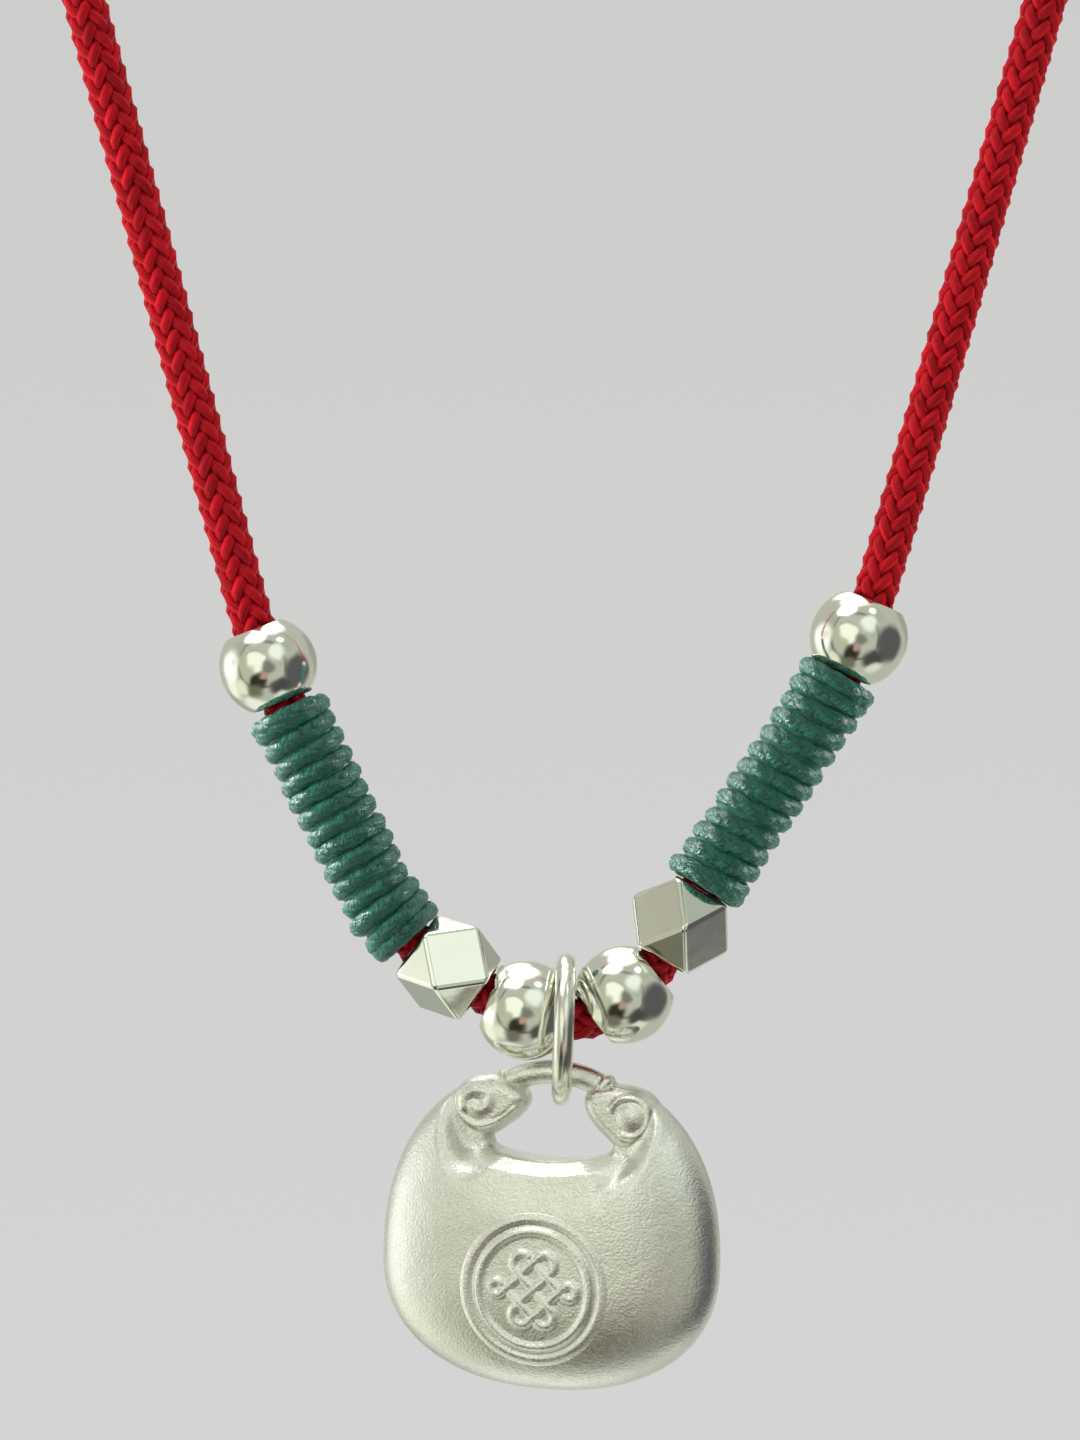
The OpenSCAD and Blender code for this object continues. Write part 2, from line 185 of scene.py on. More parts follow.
def join(name: str, pieces: Sequence[Object]) -> Object:
    """Joins mesh objects into one and keeps their materials."""
    with bpy.context.temp_override(
        active_object=pieces[0], selected_objects=list(pieces), selected_editable_objects=list(pieces)
    ):
        bpy.ops.object.join()
    pieces[0].name = name
    pieces[0].data.name = name
    return pieces[0]


def dress(made: Object, material: Material) -> None:
    """Gives an object one material."""
    made.data.materials.clear()
    made.data.materials.append(material)


def lathe(name: str, profile: Sequence[Pair], sides: int) -> Object:
    """Turns a closed profile of radius and height round the Z axis."""
    points = [(r * math.cos(t), r * math.sin(t), h) for r, h in profile for t in even_angles(sides)]
    made = mesh_object(name, np.array(points), ring_faces(len(profile), sides, wrap=True))
    mend_normals(made)
    return made


def rounded(corners: Sequence[Triple], steps: int) -> list[Pair]:
    """Rounds the corners of a closed outline.

    Args:
        corners: Each corner's two coordinates and its rounding radius.
        steps: The number of arc steps at a corner.

    Returns:
        The points of the rounded outline.
    """
    out: list[Pair] = []
    for i, (x, z, r) in enumerate(corners):
        p = Vector((x, z))
        a = Vector(corners[i - 1][:2]) - p
        b = Vector(corners[(i + 1) % len(corners)][:2]) - p
        if r <= 0:
            out.append((x, z))
            continue
        half = a.angle(b) / 2
        reach = r / math.tan(half)
        middle = p + (a.normalized() + b.normalized()).normalized() * r / math.sin(half)
        start, stop = p + a.normalized() * reach - middle, p + b.normalized() * reach - middle
        sweep = start.angle_signed(stop)
        for k in range(steps + 1):
            turned = start.copy()
            turned.rotate(Matrix.Rotation(-sweep * k / steps, 2))
            out.append(tuple(middle + turned))
    return out


# ---------------------------------------------------------------- node trees


class Group:
    """A node group with named inputs and outputs."""

    def __init__(self, name: str, kind: str, ins: dict[str, Kind], outs: dict[str, Kind]) -> None:
        """Makes the group and its sockets.

        Args:
            name: The group's name.
            kind: The tree's type, for shaders or geometry.
            ins: Each input's name and kind.
            outs: Each output's name and kind.
        """
        self.tree = bpy.data.node_groups.new(name, kind)
        for way, sockets in (("INPUT", ins), ("OUTPUT", outs)):
            for title, sort in sockets.items():
                self.tree.interface.new_socket(name=title, in_out=way, socket_type=sort.value)
        self.inlet = self.tree.nodes.new("NodeGroupInput")
        self.outlet = self.tree.nodes.new("NodeGroupOutput")

    def add(self, kind: str, settings: dict[str, object] | None = None, **wires: object) -> Node:
        """Adds a node to the group, as wire_node does."""
        return wire_node(self.tree, kind, settings, **wires)

    def identifier(self, name: str) -> str:
        """Finds the identifier of an input by its name."""
        return next(
            s.identifier for s in self.tree.interface.items_tree if s.name == name and s.in_out == "INPUT"
        )


def wire_node(tree: NodeTree, kind: str, settings: dict[str, object] | None = None, **wires: object) -> Node:
    """Adds a node and fills its inputs.

    Args:
        tree: The tree that takes the node.
        kind: The node's type.
        settings: The node's own properties.
        wires: Values or output sockets by input name, with _ for a space, or iN for input N.

    Returns:
        The new node.
    """
    node = tree.nodes.new(kind)
    for key, value in (settings or {}).items():
        setattr(node, key, value)
    for key, value in wires.items():
        numbered = len(key) > 1 and key[0] == "i" and key[1:].isdigit()
        socket = node.inputs[int(key[1:])] if numbered else node.inputs[key.replace("_", " ")]
        if isinstance(value, NodeSocket):
            tree.links.new(value, socket)
        else:
            socket.default_value = value
    return node


def vector_math(tree: NodeTree, operation: str, **wires: object) -> Node:
    """Adds a node of vector arithmetic, as wire_node does."""
    return wire_node(tree, "ShaderNodeVectorMath", {"operation": operation}, **wires)


def map_range(tree: NodeTree, value: NodeSocket, low: float, high: float, out: Pair = (0.0, 1.0)) -> Node:
    """Adds a node that maps one range of values to another.

    Args:
        tree: The tree that takes the node.
        value: The value to map.
        low: The value that gives the first result.
        high: The value that gives the second result.
        out: The two results.

    Returns:
        The new node.
    """
    return wire_node(
        tree, "ShaderNodeMapRange", Value=value, From_Min=low, From_Max=high, To_Min=out[0], To_Max=out[1]
    )


def blend(tree: NodeTree, share: NodeSocket, first: object, second: object) -> NodeSocket:
    """Adds a node that goes from one colour to another.

    Args:
        tree: The tree that takes the node.
        share: How much of the second colour shows, from 0 to 1.
        first: The first colour, as a value or a socket.
        second: The second colour.

    Returns:
        The socket with the mixed colour.
    """
    return wire_node(tree, "ShaderNodeMix", {"data_type": "RGBA"}, i0=share, i6=first, i7=second).outputs[2]


def new_material(name: str) -> tuple[Material, NodeTree, Node]:
    """Makes a material, and returns it with its tree and its shader."""
    made = bpy.data.materials.new(name)
    made.use_nodes = True
    return made, made.node_tree, made.node_tree.nodes["Principled BSDF"]


class LineSweep:
    """Sweeps a flattened round section along the lines of a mesh, with Geometry Nodes.

    The lines carry the vector "outward" on every point, and the section's thickness lies along it.
    """

    def __init__(self) -> None:
        """Builds the tree once."""
        self.group = Group(
            "sweep along lines",
            "GeometryNodeTree",
            {
                "Lines": Kind.SHAPE,
                "Half Width": Kind.NUMBER,
                "Half Thickness": Kind.NUMBER,
                "Sides": Kind.COUNT,
                "Material": Kind.MATERIAL,
            },
            {"Geometry": Kind.SHAPE},
        )
        add, take = self.group.add, self.group.inlet.outputs
        curve = add("GeometryNodeMeshToCurve", Mesh=take["Lines"])
        outward = add("GeometryNodeInputNamedAttribute", {"data_type": "FLOAT_VECTOR"}, Name="outward")
        turned = add(
            "GeometryNodeSetCurveNormal", {"mode": "FREE"}, Curve=curve.outputs[0], Normal=outward.outputs[0]
        )
        circle = add("GeometryNodeCurvePrimitiveCircle", Resolution=take["Sides"], Radius=1.0)
        place = add("GeometryNodeInputIndex")
        share = add("ShaderNodeMath", {"operation": "DIVIDE"}, i0=place.outputs[0], i1=take["Sides"])
        marked = add(
            "GeometryNodeStoreNamedAttribute",
            {"data_type": "FLOAT", "domain": "POINT"},
            Geometry=circle.outputs[0],
            Name="around",
            Value=share.outputs[0],
        )
        size = add("ShaderNodeCombineXYZ", X=take["Half Thickness"], Y=take["Half Width"], Z=1.0)
        section = add("GeometryNodeTransform", Geometry=marked.outputs[0], Scale=size.outputs[0])
        swept = add("GeometryNodeCurveToMesh", Curve=turned.outputs[0], i1=section.outputs[0])
        swept.inputs["Fill Caps"].default_value = True
        smooth = add("GeometryNodeSetShadeSmooth", Geometry=swept.outputs[0])
        solid = add("GeometryNodeRealizeInstances", Geometry=smooth.outputs[0])
        finished = add("GeometryNodeSetMaterial", Geometry=solid.outputs[0], Material=take["Material"])
        self.group.tree.links.new(finished.outputs[0], self.group.outlet.inputs[0])

    def run(
        self,
        name: str,
        lines: Object,
        half_width: float,
        half_thickness: float,
        sides: int,
        material: Material,
    ) -> Object:
        """Sweeps the section and returns the result as a plain mesh object.

        Args:
            name: The new object's name.
            lines: The object that holds the lines, which is used up.
            half_width: Half the section's width in millimetres.
            half_thickness: Half its thickness in millimetres.
            sides: The number of points round the section.
            material: The finish of the swept mesh.

        Returns:
            The new object.
        """
        modifier = lines.modifiers.new("sweep", "NODES")
        modifier.node_group = self.group.tree
        for title, value in (
            ("Half Width", half_width * MM),
            ("Half Thickness", half_thickness * MM),
            ("Sides", sides),
            ("Material", material),
        ):
            modifier[self.group.identifier(title)] = value
        lines.data.update()
        ready = lines.evaluated_get(bpy.context.evaluated_depsgraph_get())
        mesh = bpy.data.meshes.new_from_object(ready)
        lines.modifiers.remove(modifier)
        bpy.data.objects.remove(lines)
        mesh.name = name
        made = link_object(name, mesh)
        mend_normals(made)
        return made


def line_object(name: str, lines: Sequence[Array], outwards: Sequence[Array]) -> Object:
    """Makes one object of open lines, with the values that a sweep and its finish read.

    Args:
        name: The object's name.
        lines: The points of each line in millimetres.
        outwards: The outward direction at each of those points.

    Returns:
        The object, with "outward", "along" in millimetres and "strand" on its points.
    """
    edges, along, strand, start = [], [], [], 0
    for number, line in enumerate(lines):
        edges += [(start + k, start + k + 1) for k in range(len(line) - 1)]
        steps = np.linalg.norm(np.diff(line, axis=0), axis=1)
        along.append(np.concatenate([[0.0], np.cumsum(steps)]))
        strand.append(np.full(len(line), float(number)))
        start += len(line)
    made = mesh_object(name, np.vstack(lines), [], edges)
    add_values(made, "outward", np.vstack(outwards))
    add_values(made, "along", np.concatenate(along))
    add_values(made, "strand", np.concatenate(strand))
    return made


# ---------------------------------------------------------------- finishes


class SharedEffects:
    """The shader node groups that several finishes use."""

    def __init__(self) -> None:
        """Builds the groups."""
        self.grain = self._grain()
        self.scratches = self._scratches()
        self.fibres = self._fibres()

    @staticmethod
    def _grain() -> NodeTree:
        """Builds fine grain over broad waves, both from the object's own coordinates."""
        group = Group(
            "metal grain",
            "ShaderNodeTree",
            {"Grain per mm": Kind.NUMBER, "Waves per mm": Kind.NUMBER, "Stretch": Kind.VECTOR},
            {"Grain": Kind.NUMBER, "Waves": Kind.NUMBER, "Streaks": Kind.NUMBER},
        )
        add, take = group.add, group.inlet.outputs
        place = add("ShaderNodeTexCoord").outputs["Object"]
        in_mm = vector_math(group.tree, "SCALE", i0=place, Scale=1 / MM).outputs[0]
        fine = add("ShaderNodeTexNoise", Vector=in_mm, Scale=take[0], Detail=3.0, Roughness=0.6)
        broad = add("ShaderNodeTexNoise", Vector=in_mm, Scale=take[1], Detail=2.0, Roughness=0.45)
        drawn = vector_math(group.tree, "MULTIPLY", i0=in_mm, i1=take[2])
        streak = add("ShaderNodeTexNoise", Vector=drawn.outputs[0], Scale=1.0, Detail=4.0, Roughness=0.62)
        for number, node in enumerate((fine, broad, streak)):
            group.tree.links.new(node.outputs[0], group.outlet.inputs[number])
        return group.tree

    @staticmethod
    def _scratches() -> NodeTree:
        """Builds thin hairline scratches in two directions."""
        group = Group(
            "hairline scratches",
            "ShaderNodeTree",
            {"Scale": Kind.NUMBER, "Amount": Kind.NUMBER},
            {"Height": Kind.NUMBER},
        )
        add, take = group.add, group.inlet.outputs
        place = add("ShaderNodeTexCoord").outputs["Object"]
        lines = []
        for turn in ((0.3, 0.9, 0.5), (1.4, 0.2, 2.1)):
            spun = add("ShaderNodeMapping", Vector=place, Rotation=turn, Scale=(60, 2600, 60))
            noise = add("ShaderNodeTexNoise", Vector=spun.outputs[0], Scale=take[0], Detail=1.0)
            lines.append(map_range(group.tree, noise.outputs[0], 0.66, 0.72))
        both = add("ShaderNodeMath", {"operation": "MAXIMUM"}, i0=lines[0].outputs[0], i1=lines[1].outputs[0])
        scaled = add("ShaderNodeMath", {"operation": "MULTIPLY"}, i0=both.outputs[0], i1=take[1])
        group.tree.links.new(scaled.outputs[0], group.outlet.inputs[0])
        return group.tree

    @staticmethod
    def _fibres() -> NodeTree:
        """Builds the filaments of a yarn, which run along it, from the values on its points."""
        group = Group(
            "yarn filaments",
            "ShaderNodeTree",
            {"Filaments": Kind.NUMBER, "Twist": Kind.NUMBER, "Fuzz": Kind.NUMBER},
            {"Height": Kind.NUMBER, "Shade": Kind.NUMBER},
        )
        add, take = group.add, group.inlet.outputs
        along, around, strand = (
            add("ShaderNodeAttribute", {"attribute_name": name}).outputs["Fac"] for name in YARN_VALUES
        )
        spun = add("ShaderNodeMath", {"operation": "MULTIPLY_ADD"}, i0=along, i1=take["Twist"], i2=around)
        place = add("ShaderNodeCombineXYZ", X=along, Y=spun.outputs[0], Z=strand).outputs[0]
        # The height's noise runs long along the yarn, and the shade's is as short as the fuzz
        for number, (reach, apart, scale, detail, rough) in enumerate(
            ((0.35, 3.7, 1.0, 2.0, 0.5), (take["Fuzz"], 9.1, 0.5, 3.0, 0.65))
        ):
            size = add("ShaderNodeCombineXYZ", X=reach, Y=take["Filaments"], Z=apart).outputs[0]
            drawn = vector_math(group.tree, "MULTIPLY", i0=place, i1=size).outputs[0]
            noise = add("ShaderNodeTexNoise", Vector=drawn, Scale=scale, Detail=detail, Roughness=rough)
            group.tree.links.new(noise.outputs[0], group.outlet.inputs[number])
        return group.tree


# Where most of a noise's values lie
NOISE_SPAN = (0.3, 0.7)


@dataclass(frozen=True)
class SilverFinish:
    """A silver surface, from mirror polish to hammered satin, with its heights in millimetres."""

    name: str
    light: Color
    dark: Color
    roughness: Pair
    waves_per_mm: float
    wave_height: float
    grain_per_mm: float = 9.0
    grain_height: float = 0.0
    streak_height: float = 0.0
    scratch_height: float = 0.0
    streak_size: Triple = (1.1, 1.1, 2.8)

    def make(self, effects: SharedEffects) -> Material:
        """Builds the material from the shared effects."""
        made, tree, shader = new_material(self.name)
        shader.inputs["Metallic"].default_value = 1.0
        grain = wire_node(
            tree,
            "ShaderNodeGroup",
            {"node_tree": effects.grain},
            i0=self.grain_per_mm,
            i1=self.waves_per_mm,
            i2=self.streak_size,
        )
        lines = wire_node(tree, "ShaderNodeGroup", {"node_tree": effects.scratches}, i0=1.0, i1=1.0)
        tint = blend(tree, grain.outputs["Waves"], self.dark, self.light)
        tree.links.new(tint, shader.inputs["Base Color"])
        rough = map_range(tree, grain.outputs["Streaks"], *NOISE_SPAN, self.roughness)
        tree.links.new(rough.outputs[0], shader.inputs["Roughness"])
        normal: NodeSocket | None = None
        for height, source in (
            (self.wave_height, grain.outputs["Waves"]),
            (self.streak_height, grain.outputs["Streaks"]),
            (self.grain_height, grain.outputs["Grain"]),
            (self.scratch_height, lines.outputs[0]),
        ):
            if not height:
                continue
            bump = wire_node(tree, "ShaderNodeBump", Strength=1.0, Distance=height * MM, Height=source)
            if normal:
                tree.links.new(normal, bump.inputs["Normal"])
            normal = bump.outputs[0]
        tree.links.new(normal, shader.inputs["Normal"])
        return made


@dataclass(frozen=True)
class YarnFinish:
    """A dyed yarn, glossy or waxed, with its heights in millimetres."""

    name: str
    light: Color
    dark: Color
    roughness: float
    sheen: float
    filaments: float
    twist: float
    fuzz: float
    height: float
    nap: float
    gloss: float
    sheen_tint: Color
    sheen_roughness: float = 0.3
    shade_span: Pair = (0.34, 0.68)
    smoother: float = 0.08
    rougher: float = 0.1

    def make(self, effects: SharedEffects) -> Material:
        """Builds the material from the shared effects."""
        made, tree, shader = new_material(self.name)
        for title, value in (
            ("Sheen Weight", self.sheen),
            ("Sheen Roughness", self.sheen_roughness),
            ("Sheen Tint", self.sheen_tint),
            ("Specular IOR Level", self.gloss),
        ):
            shader.inputs[title].default_value = value
        fibres = {"node_tree": effects.fibres}
        yarn = wire_node(tree, "ShaderNodeGroup", fibres, i0=self.filaments, i1=self.twist, i2=self.fuzz)
        height, shade = yarn.outputs["Height"], yarn.outputs["Shade"]
        share = map_range(tree, shade, *self.shade_span).outputs[0]
        tree.links.new(blend(tree, share, self.dark, self.light), shader.inputs["Base Color"])
        span = (self.roughness - self.smoother, self.roughness + self.rougher)
        tree.links.new(map_range(tree, height, *NOISE_SPAN, span).outputs[0], shader.inputs["Roughness"])
        bump = wire_node(tree, "ShaderNodeBump", Strength=1.0, Distance=self.height * MM, Height=height)
        nap = wire_node(tree, "ShaderNodeBump", Strength=1.0, Distance=self.nap * MM, Height=shade)
        tree.links.new(bump.outputs[0], nap.inputs["Normal"])
        tree.links.new(nap.outputs[0], shader.inputs["Normal"])
        return made


class Finishes:
    """Every finish of the necklace."""

    def __init__(self) -> None:
        """Makes the materials once."""
        effects = SharedEffects()
        self.red_cord = YarnFinish(
            "red nylon braid",
            light=(0.4, 0.003, 0.009, 1),
            dark=(0.19, 0.001, 0.005, 1),
            roughness=0.4,
            sheen=0.05,
            filaments=5.0,
            twist=0.0,
            fuzz=0.6,
            height=0.04,
            nap=0.03,
            gloss=0.14,
            sheen_tint=(1.0, 0.25, 0.2, 1),
        ).make(effects)
        self.green_thread = YarnFinish(
            "green waxed thread",
            light=(0.012, 0.14, 0.1, 1),
            dark=(0.001, 0.026, 0.019, 1),
            roughness=0.34,
            sheen=0.3,
            filaments=12.0,
            twist=0.5,
            fuzz=6.0,
            height=0.07,
            nap=0.3,
            gloss=0.6,
            sheen_tint=(0.3, 1.0, 0.76, 1),
        ).make(effects)
        polished = SilverFinish(
            "polished silver",
            light=(0.93, 0.935, 0.86, 1),
            dark=(0.88, 0.885, 0.8, 1),
            roughness=(0.07, 0.12),
            waves_per_mm=0.55,
            wave_height=0.012,
            scratch_height=0.0015,
        )
        self.polished = polished.make(effects)
        self.mirror = replace(
            polished,
            name="mirror polished silver",
            roughness=(0.1, 0.15),
            waves_per_mm=0.26,
            wave_height=0.13,
            scratch_height=0.0012,
        ).make(effects)
        self.wire = SilverFinish(
            "polished silver wire",
            light=(0.9, 0.9, 0.83, 1),
            dark=(0.82, 0.82, 0.73, 1),
            roughness=(0.16, 0.24),
            waves_per_mm=0.5,
            wave_height=0.02,
            grain_height=0.002,
            streak_height=0.006,
        ).make(effects)
        self.satin = SilverFinish(
            "hammered satin silver",
            light=(0.95, 0.95, 0.905, 1),
            dark=(0.88, 0.88, 0.815, 1),
            roughness=(0.2, 0.3),
            waves_per_mm=0.3,
            wave_height=0.1,
            grain_per_mm=5.0,
            grain_height=0.055,
            streak_height=0.008,
        ).make(effects)


# ---------------------------------------------------------------- the cord's route

ROUTE = (
    (-3.5, 0), (-9, 0), (-20, -2.8), (-37.5, -14), (-49.5, -31.5), (-53.6, -51), (-50.8, -67.4),
    (-44.1, -91.2), (-31, -139), (-26, -158), (-24.1, -165), (-23.1, -167.9), (-21.4, -171.4),
    (-17.1, -180.3), (-15.3, -184), (-13.6, -187), (-11.5, -189.5), (-9, -191.3), (-6.3, -193.1),
    (-3.2, -194.9), (0, -195.6), (3.3, -195), (6.1, -192.9), (8.1, -190.1), (9.6, -187.1),
    (11.3, -184.5), (18, -174.5), (21.6, -169.1), (23.1, -166.1), (24.3, -162.9), (26.2, -156.5),
    (37.9, -115.4), (44.7, -91.5), (51.6, -67.4), (54.6, -51), (50.5, -31.5), (38.5, -14),
    (20.5, -2.8), (9, 0), (3.5, 0),
)  # fmt: skip


@dataclass
class Route:
    """The cord's centreline in the plane of the loop, measured from where the jump ring goes round it."""

    points: Sequence[Pair] = ROUTE
    ring_point: int = 20
    steps: int = 48
    line: Array = field(init=False)
    length_at: Array = field(init=False)
    length: float = field(init=False)

    def __post_init__(self) -> None:
        """Works out the spline and the lengths along it."""
        p = np.array(self.points, float)
        pulls = np.vstack([2 * p[0] - p[1], p, 2 * p[-1] - p[-2]])
        t = np.arange(self.steps) / self.steps
        u = 1 - t
        weights = np.stack([u**3, 3 * t**3 - 6 * t**2 + 4, 3 * u**3 - 6 * u**2 + 4, t**3]) / 6
        parts = [weights.T @ pulls[i : i + 4] for i in range(len(p) - 1)]
        self.line = np.vstack(parts + [p[-1:]])
        runs = np.concatenate([[0.0], np.cumsum(np.linalg.norm(np.diff(self.line, axis=0), axis=1))])
        self.length = float(runs[-1])
        self.length_at = runs - runs[self.ring_point * self.steps]

    def at(self, s: float | Array) -> Array:
        """Finds the X and Z of the cord's middle at a length or at several."""
        return np.stack([np.interp(s, self.length_at, row) for row in self.line.T], -1)

    def heading(self, s: Array, reach: float = 0.6) -> Array:
        """Finds the unit direction of the cord over a short stretch."""
        d = self.at(s + reach) - self.at(s - reach)
        return d / np.linalg.norm(d, axis=-1, keepdims=True)

    def seat(self, s: float, half: float) -> tuple[Vector, float]:
        """Finds where a stiff piece sits.

        Args:
            s: The length along the cord at the piece's middle.
            half: Half the piece's length.

        Returns:
            The piece's centre, and its lean about Y in radians.
        """
        ends = self.at(s + half), self.at(s - half)
        c = (self.at(s) + (ends[0] + ends[1]) / 2) / 2
        d = ends[0] - ends[1]
        return Vector((c[0], 0, c[1])), math.atan2(d[0], d[1])

    def round(self, s: Array, radius: Array, angle: Array) -> tuple[Array, Array]:
        """Finds points round the cord.

        Args:
            s: The lengths along the cord.
            radius: The distances from its middle.
            angle: The angles about it, from the loop's inside towards the front.

        Returns:
            The points, and the outward direction at each.
        """
        c, d = self.at(s), self.heading(s)
        out = np.stack([-d[:, 1] * np.cos(angle), -np.sin(angle), d[:, 0] * np.cos(angle)], 1)
        middle = np.stack([c[:, 0], np.zeros(len(c)), c[:, 1]], 1)
        return middle + out * np.asarray(radius)[:, None], out


@dataclass
class Spacing:
    """Where each piece lies along the cord, in millimetres from the jump ring."""

    route: Route
    cord_d: float = 3.6
    bead_d: float = 7.9
    bead_len: float = 6.1
    facet_w: float = 6.3
    thread_d: float = 1.48
    left_turns: int = 14
    right_turns: int = 13
    wrap_gap: float = 0.5
    bend_gap_left: float = 0.75
    bend_gap_right: float = 1.0
    lower_gap: float = 2.36
    ring_d: float = 12.1
    wire_d: float = 1.6
    ring_drop: float = 1.4
    shoulder_gap: float = 0.15
    ring_lean: float = 2.0
    bar_d: float = 1.9
    bar_gap: float = 0.12
    lower: dict[Side, float] = field(init=False)
    faceted: dict[Side, float] = field(init=False)
    wrap: dict[Side, Pair] = field(init=False)
    upper: dict[Side, float] = field(init=False)
    ring_r: float = field(init=False)
    ring_centre: Vector = field(init=False)
    bar: Vector = field(init=False)

    def __post_init__(self) -> None:
        """Works out the places from the sizes."""
        self.ring_r = (self.ring_d - self.wire_d) / 2
        contact = self.bead_d / 2 + self.wire_d / 2 + self.shoulder_gap
        seat = math.sqrt(contact**2 - (self.ring_r - self.ring_drop) ** 2)
        to_facet = (self.bead_len + self.facet_w) / 2
        to_wrap = self.facet_w / 2 + self.wrap_gap
        to_upper = self.wrap_gap + self.bead_len / 2
        self.lower = {Side.LEFT: -seat, Side.RIGHT: self.bead_len + self.lower_gap - seat}
        self.faceted = {
            Side.LEFT: self.lower[Side.LEFT] - to_facet - self.bend_gap_left,
            Side.RIGHT: self.lower[Side.RIGHT] + to_facet + self.bend_gap_right,
        }
        left_end = self.faceted[Side.LEFT] - to_wrap
        right_start = self.faceted[Side.RIGHT] + to_wrap
        self.wrap = {
            Side.LEFT: (left_end - self.left_turns * self.thread_d, left_end),
            Side.RIGHT: (right_start, right_start + self.right_turns * self.thread_d),
        }
        self.upper = {
            Side.LEFT: self.wrap[Side.LEFT][0] - to_upper,
            Side.RIGHT: self.wrap[Side.RIGHT][1] + to_upper,
        }
        bead, _ = self.route.seat(self.lower[Side.LEFT], self.bead_len / 2)
        lean = math.radians(self.ring_lean)
        down = Vector((-math.sin(lean), 0, -math.cos(lean)))
        pivot = bead + seat * Vector((math.cos(lean), 0, -math.sin(lean)))
        self.ring_centre = pivot + self.ring_drop * down
        inner = self.ring_r - self.wire_d / 2
        self.bar = self.ring_centre + (inner - self.bar_gap - self.bar_d / 2) * down


# ---------------------------------------------------------------- cord and thread


@dataclass
class BraidedCord:
    """A round braid of sixteen yarns over a dark core, in one whole loop."""

    route: Route
    diameter: float = 3.6
    pairs: int = 8
    lead: float = 13.3
    samples_per_lead: int = 24
    yarn_width: float = 0.98
    yarn_thickness: float = 0.78
    yarn_sides: int = 6
    weave: float = 0.27
    dwell: float = 1.12
    core_r: float = 1.05
    core_rings: int = 240
    core_sides: int = 12
    path_step: float = 2.0

    def build(self, sweep: LineSweep, finish: Material) -> Object:
        """Lays every yarn over two and under two of the others.

        Args:
            sweep: The tree that gives the lines their section.
            finish: The cord's material.

        Returns:
            The cord as one mesh.
        """
        s0, s1 = self.route.length_at[0], self.route.length_at[-1]
        count = int((s1 - s0) / self.lead * self.samples_per_lead)
        s = np.linspace(s0, s1, count + 1)
        middle = self.diameter / 2 - self.yarn_thickness / 2 - self.weave
        lines, outs = [], []
        for way in (1, -1):
            for number in range(self.pairs):
                angle = way * 2 * math.pi * ((s - s0) / self.lead + number / self.pairs)
                # The yarns of one way lie on top in every other column along the cord, and dwell there
                wave = np.clip(self.dwell * np.cos(self.pairs / 2 * angle - math.pi / 4), -1, 1) * way
                line, out = self.route.round(s, middle + self.weave * wave, angle)
                lines.append(line)
                outs.append(out)
        yarns = sweep.run(
            "braided_cord_yarns",
            line_object("yarn_lines", lines, outs),
            self.yarn_width / 2,
            self.yarn_thickness / 2,
            self.yarn_sides,
            finish,
        )
        core = self._core(s0, s1)
        dress(core, finish)
        return join("cord_braid", [yarns, core])

    def _core(self, s0: float, s1: float) -> Object:
        """Makes the plain tube inside the yarns, closed at both ends."""
        s = np.repeat(np.linspace(s0, s1, self.core_rings), self.core_sides)
        angle = np.tile(even_angles(self.core_sides), self.core_rings)
        points, _ = self.route.round(s, np.full(len(s), self.core_r), angle)
        made = tube("cord_core", points, self.core_rings, self.core_sides)
        blank_values(made)
        return made

    def declare(self, made: Object) -> None:
        """Hides the modelled cord and hangs the braid on the necklace."""
        line = self.route.at(np.arange(self.route.length_at[0], self.route.length_at[-1], self.path_step))
        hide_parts("braided_cord")
        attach(made, "necklace")


